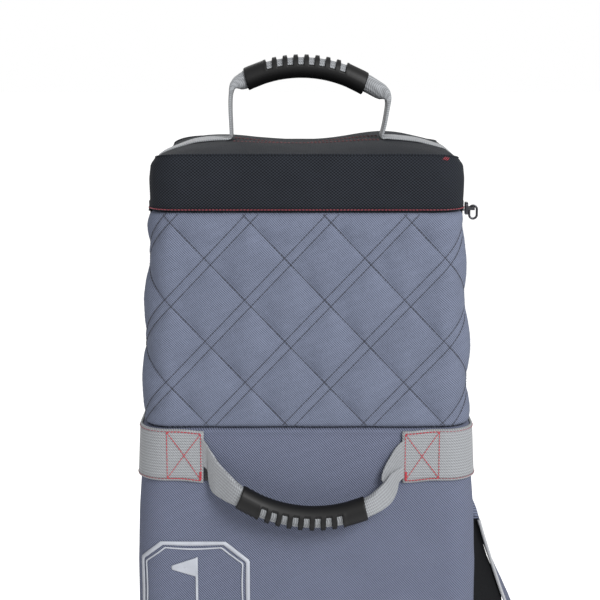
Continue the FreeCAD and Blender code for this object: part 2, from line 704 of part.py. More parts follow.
def pocket_top_flap():
    """Fabric that covers the head of the pocket, between the bag's side and the top of its face."""
    top = (body_side_x(POCKET_ROOT_TOP_Z) + GAP, POCKET_ROOT_TOP_Z)
    corner = (POCKET_OUTLINE[0][0], POCKET_OUTLINE[0][1] + GAP)
    inner = pocket_inner_line(POCKET_ROOT_TOP_Z, corner[1])
    return pocket_prism([top, corner, inner[-1]], -POCKET_Y, POCKET_Y)


def pocket_face():
    """Panel that follows the outline and opens about its back edge."""
    line = POCKET_OUTLINE
    outline = offset_line(line, GAP) + offset_line(line, GAP + POCKET_WALL)[::-1]
    return pocket_prism(outline, -POCKET_Y, POCKET_Y)


def pocket_piping():
    """Square cord bound over the face's front edge and across its top."""
    outline = offset_line(POCKET_OUTLINE, GAP) + offset_line(POCKET_OUTLINE, GAP + PIPING)[::-1]
    edges = pocket_prism(outline, -POCKET_Y - GAP - PIPING, -POCKET_Y - GAP)
    return edges


def pocket_teeth(x0, x1):
    return box(x0, x1, -POCKET_Y - 1.6, -POCKET_Y - GAP, 476, 668)


def pocket_teeth_gusset():
    return pocket_teeth(225.0, 226.7)


def pocket_teeth_face():
    """Teeth on a narrow tape that is sewn behind the face's front edge."""
    return pocket_teeth(227.0, 231.8)


POCKET_SLIDER_Z = 500.0
POCKET_SLIDER_X = 226.85


def pocket_slider():
    y = -POCKET_Y - PIPING - 2 * GAP
    half = SLIDER_LENGTH / 2
    x, z = POCKET_SLIDER_X, POCKET_SLIDER_Z
    plate = box(x - 5, x + 5, y - 2.0, y, z - half, z + half)
    bar = pocket_bar()
    pin = cylinder(BRIDGE_R, 8.0, V(bar.x - 4.0, bar.y, bar.z), V(1, 0, 0))
    posts = [
        box(x - 0.9, x + 0.9, bar.y - BRIDGE_R, y - 1.5, bar.z - 1.5, bar.z + 1.5)
        for x in (bar.x - 3.5, bar.x + 3.5)
    ]
    return plate.fuse([pin] + posts).removeSplitter()


def pocket_bar():
    return V(POCKET_SLIDER_X, -POCKET_Y - PIPING - 2 * GAP - 2.0 - BRIDGE_REACH, POCKET_SLIDER_Z)


def pocket_ring():
    return pull_ring(pocket_bar(), "x")


# ---- all nodes ----------------------------------------------------------------------------------
NODES = {
    "base_tray": base_tray,
    "wear_plate": wear_plate,
    "base_screws": base_screws,
    "base_board": base_board,
    "base_pad": base_pad,
    "body_shell": body_shell,
    "body_foam": body_foam,
    "back_stiffener": back_stiffener,
    "main_lining": main_lining,
    "quilted_cover": quilted_cover,
    "quilt_foam": quilt_foam,
    "quilt_lining": quilt_lining,
    "handle_belt": handle_belt,
    "handle_backing_patches": handle_backing_patches,
    "badge_print": badge_print,
    "tray_rivets": tray_rivets,
    "rail_rivets": rail_rivets,
    "housing_screws": housing_screws,
    "axle_clips": axle_clips,
    "wheel_spacers": wheel_spacers,
    "zip_tape_lower": zip_tape_lower,
    "zip_teeth_lower": zip_teeth_lower,
    "zip_tape_upper": zip_tape_upper,
    "zip_teeth_upper": zip_teeth_upper,
    "zip_slider": zip_slider,
    "zip_ring": zip_ring,
    "cap_shell": cap_shell,
    "cap_foam": cap_foam,
    "top_handle_strap": top_handle_strap,
    "top_handle_grip": top_handle_grip,
    "front_handle_strap": front_handle_strap,
    "front_handle_grip": front_handle_grip,
    "pocket_gusset": pocket_gusset,
    "pocket_top_flap": pocket_top_flap,
    "pocket_face": pocket_face,
    "pocket_piping": pocket_piping,
    "pocket_teeth_gusset": pocket_teeth_gusset,
    "pocket_teeth_face": pocket_teeth_face,
    "pocket_slider": pocket_slider,
    "pocket_ring": pocket_ring,
}
PAIRS = {
    "wheel_housing": wheel_housing,
    "axle": axle,
    "wheel_tyre": wheel_tyre,
    "wheel_hub": wheel_hub,
    "wheel_bearings": wheel_bearings,
    "skid_rail": skid_rail,
    "cross_webbing": cross_webbing,
    "housing_hump": housing_hump,
}
for pair_name, maker in PAIRS.items():
    for side_name, side_sign in (("left", -1), ("right", 1)):
        NODES[f"{pair_name}_{side_name}"] = lambda maker=maker, side_sign=side_sign: maker(side_sign)

os.makedirs("parts", exist_ok=True)
for node, make in NODES.items():
    shape = make()
    if not shape.isValid() or not shape.Solids or shape.Volume <= 0:
        print("CHECK", node, "valid", shape.isValid(), "solids", len(shape.Solids), "volume", shape.Volume)
    Part.makeCompound(shape.Solids).exportStep(os.path.join("parts", node + ".step"))
print("nodes", len(NODES))
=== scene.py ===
"""Golf travel bag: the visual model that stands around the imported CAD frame.

Lengths are in millimetres until a mesh is made. A surface that wraps round the bag is worked out flat
first, as (s, z, n): s runs round the bag from the middle of its front towards +X, z is the height and n
stands out from the bag.
"""

import math

import bmesh
import bpy
import numpy as np
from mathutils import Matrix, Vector, noise


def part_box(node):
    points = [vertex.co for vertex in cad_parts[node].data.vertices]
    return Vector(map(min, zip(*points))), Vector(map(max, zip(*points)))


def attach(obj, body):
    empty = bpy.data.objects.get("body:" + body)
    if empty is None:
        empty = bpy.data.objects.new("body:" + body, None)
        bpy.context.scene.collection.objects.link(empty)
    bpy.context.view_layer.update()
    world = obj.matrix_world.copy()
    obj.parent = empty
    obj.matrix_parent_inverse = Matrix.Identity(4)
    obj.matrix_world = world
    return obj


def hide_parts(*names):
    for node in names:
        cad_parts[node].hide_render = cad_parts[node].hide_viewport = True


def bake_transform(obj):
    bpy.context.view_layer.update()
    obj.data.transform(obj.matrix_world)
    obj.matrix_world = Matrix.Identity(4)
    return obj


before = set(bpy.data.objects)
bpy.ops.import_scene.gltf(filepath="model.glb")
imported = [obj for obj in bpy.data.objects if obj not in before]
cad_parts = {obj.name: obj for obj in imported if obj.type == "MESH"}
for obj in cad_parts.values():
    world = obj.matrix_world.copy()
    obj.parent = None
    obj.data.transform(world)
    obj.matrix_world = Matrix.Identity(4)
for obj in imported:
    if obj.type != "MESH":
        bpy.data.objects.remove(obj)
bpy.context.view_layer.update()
MM = 0.001


def box_mm(node):
    low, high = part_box(node)
    return np.array(low) / MM, np.array(high) / MM


CAP_LOW = box_mm("cap_shell")[0]
QUILT_LOW, QUILT_HIGH = box_mm("quilted_cover")
BODY_LOW, BODY_HIGH = box_mm("body_shell")
TRAY_HIGH = box_mm("base_tray")[1]
BELT_LOW, BELT_HIGH = box_mm("handle_belt")
SEAM_Z = (QUILT_HIGH[2] + CAP_LOW[2]) / 2


# ---- materials ----------------------------------------------------------------------------------
DYE_SHARE = 0.47                # how much darker a surface is made than the colour it should show


def linear(r, g, b):
    """An sRGB colour, 0 to 255, as linear RGBA."""
    def channel(value):
        value /= 255
        return value / 12.92 if value <= 0.04045 else ((value + 0.055) / 1.055) ** 2.4
    return (channel(r), channel(g), channel(b), 1.0)


def dye(r, g, b):
    """A surface colour that comes out as this sRGB colour in the studio, whose light is strong."""
    return tuple(channel * DYE_SHARE for channel in linear(r, g, b)[:3]) + (1.0,)


class Material:
    """A material with a Principled shader, and short calls for the nodes that feed it."""

    def __init__(self, name, roughness, **sockets):
        self.material = bpy.data.materials.new(name)
        self.material.use_nodes = True
        self.tree = self.material.node_tree
        self.shader = self.tree.nodes["Principled BSDF"]
        self.shader.inputs["Roughness"].default_value = roughness
        for socket, value in sockets.items():
            self.shader.inputs[socket.replace("_", " ")].default_value = value

    def node(self, kind, inputs=(), **settings):
        made = self.tree.nodes.new(kind)
        for key, value in settings.items():
            setattr(made, key, value)
        for key, value in dict(inputs).items():
            if isinstance(value, bpy.types.NodeSocket):
                self.tree.links.new(value, made.inputs[key])
            else:
                made.inputs[key].default_value = value
        return made

    def math(self, operation, a, b=0.0):
        return self.node("ShaderNodeMath", {0: a, 1: b}, operation=operation).outputs[0]

    def wave(self, value, pitch):
        """Sine of a length, in metres, that repeats every pitch millimetres."""
        return self.math("SINE", self.math("MULTIPLY", value, 2 * math.pi / (pitch * MM)))

    def uv(self):
        """The surface's own u and v, in metres."""
        flat = self.node("ShaderNodeUVMap", uv_map="metres").outputs[0]
        split = self.node("ShaderNodeSeparateXYZ", {0: flat})
        return split.outputs[0], split.outputs[1]

    def noise(self, size, detail=3.0, roughness=0.55):
        """Noise, 0 to 1, with blotches about size millimetres across."""
        place = self.node("ShaderNodeTexCoord").outputs["Object"]
        inputs = {"Vector": place, "Scale": 1 / (size * MM), "Detail": detail, "Roughness": roughness}
        return self.node("ShaderNodeTexNoise", inputs).outputs[0]

    def spread(self, value, low, high, to_low, to_high):
        inputs = {0: value, 1: low, 2: high, 3: to_low, 4: to_high}
        return self.node("ShaderNodeMapRange", inputs).outputs[0]

    def blend(self, share, a, b, mode="MIX"):
        made = self.node("ShaderNodeMix", data_type="RGBA", blend_type=mode)
        for index, value in ((0, share), (6, a), (7, b)):
            if isinstance(value, bpy.types.NodeSocket):
                self.tree.links.new(value, made.inputs[index])
            else:
                made.inputs[index].default_value = value
        return made.outputs[2]

    def colour(self, socket):
        self.tree.links.new(socket, self.shader.inputs["Base Color"])

    def rough(self, socket):
        self.tree.links.new(socket, self.shader.inputs["Roughness"])

    def bump(self, height, strength, distance):
        inputs = {"Height": height, "Strength": strength, "Distance": distance * MM}
        last = self.shader.inputs["Normal"]
        if last.is_linked:
            inputs["Normal"] = last.links[0].from_socket
        self.tree.links.new(self.node("ShaderNodeBump", inputs).outputs[0], last)


def shaded(colour, factor):
    return tuple(min(channel * factor, 1.0) for channel in colour[:3]) + (1.0,)


def cloth(name, colour, pitch, twill, contrast, mottle, sheen=0.0, roughness=0.85, gloss=0.3,
          dark=0.5, pale=1.5):
    """Woven cloth. Twill from 0 to 1 turns a plain weave into diagonal ribs. Pitch is in millimetres."""
    m = Material(name, roughness, Sheen_Weight=sheen, Sheen_Roughness=0.45, Specular_IOR_Level=gloss)
    u, v = m.uv()
    ribs = m.wave(m.math("ADD", u, m.math("MULTIPLY", v, 0.9)), pitch)
    dots = m.math("MULTIPLY", m.wave(u, pitch * 1.1), m.wave(v, pitch * 0.9))
    weave = m.math("ADD", m.math("MULTIPLY", ribs, twill), m.math("MULTIPLY", dots, 1 - twill * 0.6))
    yarn = m.noise(2.2, 4.0, 0.7)
    slub = m.noise(34.0, 2.0, 0.5)
    woven = m.spread(weave, -1, 1, -contrast, contrast)
    tone = m.math("ADD", woven, m.spread(yarn, 0.25, 0.75, -mottle, mottle))
    tone = m.math("ADD", tone, m.spread(slub, 0.3, 0.7, -0.05, 0.05))
    share = m.spread(tone, -0.5, 0.5, 0.0, 1.0)
    m.colour(m.blend(share, shaded(colour, dark), shaded(colour, pale)))
    m.rough(m.spread(yarn, 0.2, 0.8, roughness - 0.06, min(roughness + 0.08, 1.0)))
    m.bump(weave, 0.5, 0.35)
    m.bump(m.noise(6.0, 3.0, 0.6), 0.25, 0.5)
    return m.material


def webbing(name, colour, contrast=0.22):
    """Narrow woven strap: v runs along it, and its ribs run at one slant across it."""
    m = Material(name, 0.7, Sheen_Weight=0.08, Sheen_Roughness=0.4)
    u, v = m.uv()
    ribs = m.wave(m.math("ADD", v, m.math("MULTIPLY", u, 0.8)), 2.3)
    cords = m.wave(u, 2.9)
    weave = m.math("MULTIPLY", m.math("ADD", ribs, m.math("MULTIPLY", cords, 0.7)), 0.6)
    yarn = m.noise(1.6, 4.0, 0.7)
    tone = m.math("ADD", m.spread(weave, -1, 1, -contrast, contrast), m.spread(yarn, 0.25, 0.75, -0.1, 0.1))
    m.colour(m.blend(m.spread(tone, -0.5, 0.5, 0.0, 1.0), shaded(colour, 0.5), shaded(colour, 1.5)))
    m.bump(weave, 0.6, 0.5)
    m.bump(yarn, 0.2, 0.3)
    return m.material


def plastic(name, colour, roughness, grain=1.2, bump=0.35, scuff=0.12, gloss=0.45):
    """Moulded plastic or rubber: a fine grain, with slightly paler and rougher patches of wear."""
    m = Material(name, roughness, Specular_IOR_Level=gloss)
    fine = m.noise(grain, 3.0, 0.6)
    wear = m.noise(26.0, 6.0, 0.65)
    share = m.spread(wear, 0.45, 0.75, 0.0, 1.0)
    m.colour(m.blend(share, colour, shaded(colour, 1.0 + scuff * 4)))
    m.rough(m.spread(wear, 0.3, 0.75, roughness, min(roughness + scuff * 1.6, 1.0)))
    m.bump(fine, bump, 0.15)
    return m.material


def metal(name, colour, roughness):
    m = Material(name, roughness, Metallic=1.0)
    fine = m.noise(0.8, 4.0, 0.7)
    patch = m.noise(9.0, 3.0, 0.5)
    m.colour(m.blend(m.spread(patch, 0.3, 0.7, 0.0, 1.0), shaded(colour, 0.8), shaded(colour, 1.15)))
    m.rough(m.spread(fine, 0.3, 0.7, roughness * 0.8, roughness * 1.25))
    m.bump(fine, 0.075, 0.08)
    return m.material


def thread(name, colour):
    """Twisted sewing thread."""
    m = Material(name, 0.6, Sheen_Weight=0.05)
    twist = m.noise(0.7, 2.0, 0.5)
    m.colour(m.blend(m.spread(twist, 0.3, 0.7, 0.0, 1.0), shaded(colour, 0.75), shaded(colour, 1.25)))
    m.bump(twist, 0.3, 0.1)
    return m.material


LOOK = {
    "quilt": cloth("quilt_cloth", dye(115, 122, 142), 2.3, 0.7, 0.54, 0.14, roughness=0.9, gloss=0.12),
    "body": cloth("body_cloth", dye(110, 116, 137), 2.5, 0.95, 0.64, 0.12, roughness=0.9, gloss=0.12),
    "cap": cloth("cap_cloth", dye(32, 35, 41), 3.1, 0.1, 0.64, 0.12, roughness=0.9, gloss=0.12,
                 dark=0.05, pale=2.4),
    "lining": cloth("lining_cloth", dye(150, 152, 156), 1.2, 0.2, 0.08, 0.05),
    "gusset": cloth("gusset_cloth", dye(22, 23, 26), 1.6, 0.2, 0.3, 0.1, roughness=0.8, gloss=0.15),
    "webbing": webbing("grey_webbing", dye(154, 157, 161), 0.40),
    # Near-black webbing: painted shade for the gaps under the belt's ends.
    "dark_webbing": webbing("dark_webbing", dye(22, 23, 25)),
    "piping": cloth("piping_cloth", dye(190, 192, 196), 0.9, 0.9, 0.08, 0.04, sheen=0.1, roughness=0.6),
    "foam": plastic("closed_cell_foam", dye(190, 190, 186), 0.95, 2.0, 0.6, 0.05),
    "moulding": plastic("moulded_base", dye(34, 35, 37), 0.5, 1.1, 0.5),
    "board": plastic("hollow_board", dye(70, 70, 72), 0.6),
    "rubber": plastic("grip_rubber", dye(14, 14, 15), 0.5, 0.9, 0.3, 0.06, 0.2),
    "tyre": plastic("tyre_rubber", dye(34, 34, 35), 0.75, 1.4, 0.5, 0.2),
    "hub": plastic("hub_plastic", dye(120, 122, 126), 0.4, 1.0, 0.25, 0.1),
    "zip_black": plastic("zip_plastic", dye(20, 20, 22), 0.4, 0.7, 0.2, 0.1, 0.3),
    "zip_metal": metal("gunmetal", linear(62, 62, 66), 0.32),
    "steel": metal("brushed_steel", linear(150, 150, 154), 0.3),
    "print": plastic("badge_print", dye(186, 190, 200), 0.6, 1.4, 0.4, 0.06),
    "navy_thread": thread("navy_thread", dye(28, 32, 52)),
    "red_thread": thread("red_thread", dye(200, 38, 58)),
    "dark_red_thread": thread("dark_red_thread", dye(150, 32, 54)),
    "faint_red_thread": thread("faint_red_thread", dye(92, 32, 40)),
}


# ---- meshes -------------------------------------------------------------------------------------
def make_object(name, points, faces, look, body, slot, uv):
    """A mesh object from points in millimetres. uv has one (u, v), also in millimetres, per point."""
    mesh = bpy.data.meshes.new(name)
    mesh.from_pydata((np.asarray(points, float) * MM).tolist(), [], [tuple(face) for face in faces])
    layer = mesh.uv_layers.new(name="metres")
    loops = np.zeros(len(mesh.loops), int)
    mesh.loops.foreach_get("vertex_index", loops)
    layer.data.foreach_set("uv", (np.asarray(uv, float)[loops] * MM).ravel())
    mesh.polygons.foreach_set("use_smooth", [True] * len(mesh.polygons))
    mesh.update()
    made = bpy.data.objects.new(name, mesh)
    bpy.context.scene.collection.objects.link(made)
    made.data.materials.append(LOOK[look])
    if body:
        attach(made, body)
    return made


def closed_object(*details):
    """make_object for a closed mesh, with all its faces turned outward."""
    made = make_object(*details)
    bm = bmesh.new()
    bm.from_mesh(made.data)
    bmesh.ops.recalc_face_normals(bm, faces=bm.faces)
    bm.to_mesh(made.data)
    bm.free()
    return made


def grid_faces(rows, columns, wrap_rows=False, wrap_columns=False):
    r = np.arange(rows if wrap_rows else rows - 1)
    c = np.arange(columns if wrap_columns else columns - 1)
    r, c = (axis.ravel() for axis in np.meshgrid(r, c, indexing="ij"))
    r1, c1 = (r + 1) % rows, (c + 1) % columns
    return np.stack([r * columns + c, r * columns + c1, r1 * columns + c1, r1 * columns + c], 1)


def tube_faces(rows, columns, flip=False):
    """Faces of a tube of rings with as many points as there are columns, closed at both ends."""
    ends = [list(range(columns)), list(range((rows - 1) * columns, rows * columns))[::-1]]
    if flip:
        ends = [end[::-1] for end in ends]
    return grid_faces(rows, columns, False, True).tolist() + ends


def unit(vectors):
    vectors = np.asarray(vectors, float)
    return vectors / np.maximum(np.linalg.norm(vectors, axis=-1, keepdims=True), 1e-9)


def run(points):
    """Length along a line of points, at each of them."""
    return np.concatenate([[0], np.cumsum(np.linalg.norm(np.diff(points, axis=0), axis=1))])


def tube_along(points, radius, sides=8, closed=False):
    """(points, faces, uv) of a round tube along a line of points."""
    points = np.asarray(points, float)
    if closed:
        along = unit(np.roll(points, -1, 0) - np.roll(points, 1, 0))
    else:
        along = unit(np.gradient(points, axis=0))
    reference = np.array([0.0, 0.0, 1.0])
    side = np.cross(along, reference)
    weak = np.linalg.norm(side, axis=1) < 0.2
    side[weak] = np.cross(along[weak], [0.0, 1.0, 0.0])
    side = unit(side)
    for i in range(1, len(side)):
        if side[i] @ side[i - 1] < 0:
            side[i] *= -1
    up = np.cross(side, along)
    angle = np.linspace(0, 2 * np.pi, sides, endpoint=False)
    radius = np.broadcast_to(radius, (len(points),))
    ring = side[:, None] * np.cos(angle)[None, :, None] + up[:, None] * np.sin(angle)[None, :, None]
    mesh = (points[:, None] + ring * radius[:, None, None]).reshape(-1, 3)
    if closed:
        faces = grid_faces(len(points), sides, True, True).tolist()
    else:
        faces = tube_faces(len(points), sides, True)
    around = angle[None] * radius[:, None]
    uv = columns_of(around, run(points)[:, None]).reshape(-1, 2)
    return mesh, faces, uv


def merged(pieces):
    """Several (points, faces, uv) as one."""
    points, faces, uvs, start = [], [], [], 0
    for mesh, part_faces, uv in pieces:
        points.append(mesh)
        uvs.append(uv)
        faces += [[index + start for index in face] for face in part_faces]
        start += len(mesh)
    return np.concatenate(points), faces, np.concatenate(uvs)


def wobble(points, size, seed):
    """Smooth noise, about -1 to 1, at points in millimetres."""
    offset = Vector((seed * 7.3, seed * 3.1, seed * 5.7))
    points = np.asarray(points, float).reshape(-1, 3)
    return np.array([noise.noise(Vector(point) / size + offset) for point in points])


def columns_of(*columns):
    """Arrays and numbers, repeated to the same length, as the last axis of one array."""
    return np.stack(np.broadcast_arrays(*columns), -1).astype(float)


# ---- the bag's section --------------------------------------------------------------------------
def round_plan(s, a, b, r):
    """Point and outward normal on a rounded rectangle, s round from the front's middle.

    Its half sizes are a and b, and its corner radius is r.
    """
    s = np.asarray(s, float)
    side = np.where(s < 0, -1.0, 1.0)
    quarter = np.pi * r / 2
    past_front = np.abs(s) - (a - r)
    past_corner = past_front - quarter
    past_side = past_corner - 2 * (b - r)
    past_rear = past_side - quarter
    turn = np.clip(past_front, 0, quarter) / r + np.clip(past_side, 0, quarter) / r
    nx, ny = np.sin(turn), -np.cos(turn)
    x = np.minimum(np.abs(s), a - r) + r * np.sin(np.minimum(turn, np.pi / 2))
    x = x + r * (np.sin(np.maximum(turn, np.pi / 2)) - 1) - np.clip(past_rear, 0, None)
    y = -b + r * (1 - np.cos(turn)) + np.clip(past_corner, 0, 2 * (b - r))
    return side * x, y, side * nx, ny


def half_round(a, b, r):
    """Half of the way round the rounded rectangle."""
    return 2 * (a - r) + 2 * (b - r) + np.pi * r


class Section:
    """The bag's outline at every height, from stations of (z, half width, half depth, corner radius)."""

    def __init__(self, *stations):
        self.table = np.array(sorted(stations), float)

    def at(self, z):
        return [np.interp(z, self.table[:, 0], self.table[:, column]) for column in (1, 2, 3)]

    def wrap(self, flat):
        """Points in space from an array of (s, z, n)."""
        flat = np.asarray(flat, float)
        s, z, n = flat[..., 0], flat[..., 1], flat[..., 2]
        x, y, nx, ny = round_plan(s, *self.at(z))
        return columns_of(x + nx * n, y + ny * n, z)

    def half(self, z):
        return half_round(*self.at(z))


CORNER = 27                     # plan radius of the upright corners above the belt
BACK_Y = BODY_HIGH[1]
BODY = Section(
    (BODY_LOW[2], 174.5, BACK_Y - 0.5, 38), (TRAY_HIGH[2], 174.8, BACK_Y - 0.3, 38), (400, 173.6, BACK_Y, 35),
    (810, 171.4, BACK_Y, 30), (865, 169.2, BACK_Y, 28), (903, 166.0, BACK_Y, CORNER),
    (QUILT_LOW[2], 163.2, BACK_Y, CORNER),
)
QUILT = Section(
    (QUILT_LOW[2], 160.6, 142.6, CORNER), (992, 158.8, 142.4, CORNER), (1030, 158.4, 142.0, CORNER),
    (1074, 155.7, 141.2, CORNER), (1125, 152.6, 140.2, CORNER), (SEAM_Z, 151.4, 138.8, CORNER),
)


def strip_uv(flat):
    return np.asarray(flat, float).reshape(-1, 3)[:, :2]


# ---- stitches -----------------------------------------------------------------------------------
STITCH_LENGTH, STITCH_PITCH = 2.9, 3.3


def resample(points, step):
    """Points every step millimetres along a line."""
    points = np.asarray(points, float)
    length = run(points)
    count = max(int(round(length[-1] / step)), 1)
    at = np.linspace(0, length[-1], count + 1)
    return columns_of(*(np.interp(at, length, column) for column in points.T))


def stitches(line, radius, sink=0.2, pitch=STITCH_PITCH, long=STITCH_LENGTH):
    """Flat (s, z, n) stitches along a flat line: each one rises from the cloth and goes back in."""
    rings, ring_sides = 5, 5
    profile = np.array([0.35, 0.9, 1.0, 0.9, 0.35])
    rise = np.array([-1.0, 0.4, 0.8, 0.4, -1.0]) * sink
    points = resample(line, pitch)
    along = unit(np.diff(points, axis=0))
    middle = (points[1:] + points[:-1]) / 2
    side = unit(columns_of(along[:, 1], -along[:, 0], 0.0))
    up = np.cross(side, along)
    up[up[:, 2] < 0] *= -1
    t = np.linspace(-0.5, 0.5, rings) * long
    angle = np.linspace(0, 2 * np.pi, ring_sides, endpoint=False)
    ring = (side[:, None, None] * np.cos(angle)[None, None, :, None]
            + up[:, None, None] * np.sin(angle)[None, None, :, None])
    ring = ring * (radius * profile)[None, :, None, None]
    centre = middle[:, None] + along[:, None] * t[None, :, None] + up[:, None] * rise[None, :, None]
    mesh = (centre[:, :, None] + ring).reshape(-1, 3)
    one = tube_faces(rings, ring_sides, True)
    size = rings * ring_sides
    faces = [[index + stitch * size for index in face] for stitch in range(len(middle)) for face in one]
    return mesh, faces, mesh[:, :2]


def sew(name, lines, section, look, body, slot, radius=0.42, **options):
    """Stitches along flat lines, wrapped onto a section, as one object."""
    mesh, faces, uv = merged([stitches(line, radius, **options) for line in lines])
    return make_object(name, section.wrap(mesh), faces, look, body, slot, uv)


# ---- quilted collar -----------------------------------------------------------------------------
DIAMOND_W, DIAMOND_H = 77.5, 81.6
DIAMOND_S, DIAMOND_Z = -56.8, QUILT_LOW[2] + 124.2
PAIR_HALF = 0.078               # half the gap of the double seams, as a share of a diamond's side
QUILT_CELLS = 14
QUILT_SLACK = 0.03
PUFF_HEIGHT = 4.6


def diamond_point(p, q):
    """(s, z) of lattice coordinates: p counts the single seams and q the double ones."""
    return DIAMOND_S + (p + q) * DIAMOND_W / 2, DIAMOND_Z + (p - q) * DIAMOND_H / 2


def quilt_lattice():
    """Flat grid that runs along the seams, so that each seam is a row of edges."""
    reach = range(-12, 13)
    p_lines = [i + k / QUILT_CELLS for i in reach for k in range(QUILT_CELLS)]
    inner = QUILT_CELLS - 2
    q_lines = []
    for i in reach:
        q_lines += [i - PAIR_HALF, i]
        q_lines += [i + PAIR_HALF + k * (1 - 2 * PAIR_HALF) / inner for k in range(inner)]
    p, q = np.meshgrid(p_lines, sorted(q_lines), indexing="ij")
    s, z = diamond_point(p, q)
    widest = QUILT.half(QUILT_LOW[2]) + 14
    keep = (np.abs(s) < widest) & (z > QUILT_LOW[2] - 12) & (z < SEAM_Z + 12)
    on_single = np.abs(p - np.round(p)) < 1e-6
    on_double = np.abs(np.abs(q - np.round(q)) - PAIR_HALF) < 1e-6
    index = np.cumsum(keep.ravel()).reshape(keep.shape) - 1
    quads = keep[:-1, :-1] & keep[1:, :-1] & keep[1:, 1:] & keep[:-1, 1:]
    i, j = np.nonzero(quads)
    faces = np.stack([index[i, j], index[i, j + 1], index[i + 1, j + 1], index[i + 1, j]], 1)
    flat = columns_of(s[keep], z[keep])
    used = np.unique(faces)
    new_index = np.zeros(len(flat), int)
    new_index[used] = np.arange(len(used))
    return flat[used], new_index[faces], (on_single | on_double)[keep][used], p[keep][used], q[keep][used]


def puffed_by_cloth(flat, faces, sewn):
    """Heights of a slightly oversized cloth, pinned at its seams and pushed out by Blender's solver."""
    scale = 0.02
    middle = flat.mean(0)
    mesh = bpy.data.meshes.new("quilt_sheet")
    mesh.from_pydata(columns_of(*((flat - middle) * scale).T, 0.0).tolist(), [], faces.tolist())
    sheet = bpy.data.objects.new("quilt_sheet", mesh)
    scene = bpy.context.scene
    scene.collection.objects.link(sheet)
    bm = bmesh.new()
    bm.from_mesh(mesh)
    border = [v.index for v in bm.verts if v.is_boundary]
    bm.free()
    pins = sheet.vertex_groups.new(name="sewn")
    pins.add(sorted(set(border) | set(np.nonzero(sewn)[0].tolist())), 1.0, "REPLACE")
    modifier = sheet.modifiers.new("puff", "CLOTH")
    settings = modifier.settings
    settings.vertex_group_mass = "sewn"
    settings.quality = 6
    settings.tension_stiffness = settings.compression_stiffness = 20
    settings.shear_stiffness = 8
    settings.bending_stiffness = 60
    settings.air_damping = 4
    settings.shrink_min = -QUILT_SLACK
    modifier.collision_settings.use_collision = False
    gravity = tuple(scene.gravity)
    scene.gravity = (0, 0, 6)
    for step in range(1, 25):
        scene.frame_set(step)
    solved = sheet.evaluated_get(bpy.context.evaluated_depsgraph_get()).to_mesh()
    heights = np.zeros(len(solved.vertices) * 3)
    solved.vertices.foreach_get("co", heights)
    heights = heights.reshape(-1, 3)[:, 2] / scale
    scene.gravity = gravity
    scene.frame_set(1)
    bpy.data.objects.remove(sheet)
    return heights


def puffed_by_formula(p, q):
    across_p = np.sin(np.pi * (p % 1))
    gap = (q + PAIR_HALF) % 1
    across_q = np.where(gap < 2 * PAIR_HALF, 0.25 * np.sin(np.pi * gap / (2 * PAIR_HALF)),
                        np.sin(np.pi * (gap - 2 * PAIR_HALF) / (1 - 2 * PAIR_HALF)))
    return 5.0 * (np.abs(across_p) * np.abs(across_q)) ** 0.42


def turned_in(z, low, high, edge):
    """How far cloth turns in near its top and bottom edges."""
    near = np.clip(edge - np.minimum(z - low, high - z), 0, edge)
    return edge - np.sqrt(np.maximum(edge ** 2 - near ** 2, 0))


def make_quilt():
    flat, faces, sewn, p, q = quilt_lattice()
    heights = puffed_by_cloth(flat, faces, sewn)
    top = np.percentile(heights, 97)
    smooth = puffed_by_formula(p, q) / 5.0 * PUFF_HEIGHT
    heights = 0.5 * np.clip(heights, -0.5, top * 1.2) * PUFF_HEIGHT / top + 0.5 * smooth
    heights[sewn] = 0.0
    # Sewn into its hem and into the zipper, the panel is flat along its bottom and top edges.
    to_low, to_high = flat[:, 1] - QUILT_LOW[2], QUILT_HIGH[2] - flat[:, 1]
    free = np.clip(to_low / 16, 0, 1) ** 0.6 * np.clip((to_high - 1) / 15, 0, 1) ** 0.6
    heights = heights * free + 1.5 * (1 - np.clip(to_low / 16, 0, 1) ** 0.6)
    mesh = bpy.data.meshes.new("quilt_flat")
    mesh.from_pydata([(s, z, n) for (s, z), n in zip(flat, heights)], [], faces.tolist())
    bm = bmesh.new()
    bm.from_mesh(mesh)
    bpy.data.meshes.remove(mesh)
    low, high = QUILT_LOW[2] + 0.4, QUILT_HIGH[2] - 0.2
    half_low, half_high = float(QUILT.half(low)) - 3, float(QUILT.half(high)) - 3
    slope = (half_low - half_high) / (high - low)
    planes = [((0, low, 0), (0, -1, 0)), ((0, high, 0), (0, 1, 0)),
              ((half_low, low, 0), (1, slope, 0)), ((-half_low, low, 0), (-1, slope, 0))]
    for point, normal in planes:
        whole = bm.verts[:] + bm.edges[:] + bm.faces[:]
        bmesh.ops.bisect_plane(bm, geom=whole, plane_co=point, plane_no=normal, clear_outer=True)
    bmesh.ops.subdivide_edges(bm, edges=bm.edges[:], cuts=1, use_grid_fill=True, smooth=0.35)
    loose = [v for v in bm.verts if not v.link_faces]
    bmesh.ops.delete(bm, geom=loose, context="VERTS")
    border = [e for e in bm.edges if e.is_boundary]
    extruded = bmesh.ops.extrude_edge_only(bm, edges=border)["geom"]
    for vertex in extruded:
        if isinstance(vertex, bmesh.types.BMVert):
            vertex.co.z = -4.0
    bm.verts.index_update()
    points = np.array([v.co[:] for v in bm.verts])
    polygons = [[v.index for v in f.verts] for f in bm.faces]
    bm.free()
    points[:, 2] -= np.where(points[:, 2] > -3.5, turned_in(points[:, 1], low, high, 4.0), 0)
    # Cloth that's pulled tight by thread puckers a little beside each seam.
    pucker = wobble(points * [1, 0.6, 0], 7.0, 1)
    points[:, 2] += 0.22 * pucker * (points[:, 2] > 0.15)
    made = make_object("quilt_panel", QUILT.wrap(points), polygons, "quilt", "bag", "quilt_fabric",
                       points[:, :2])
    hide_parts("quilted_cover", "quilt_foam")
    return low, high


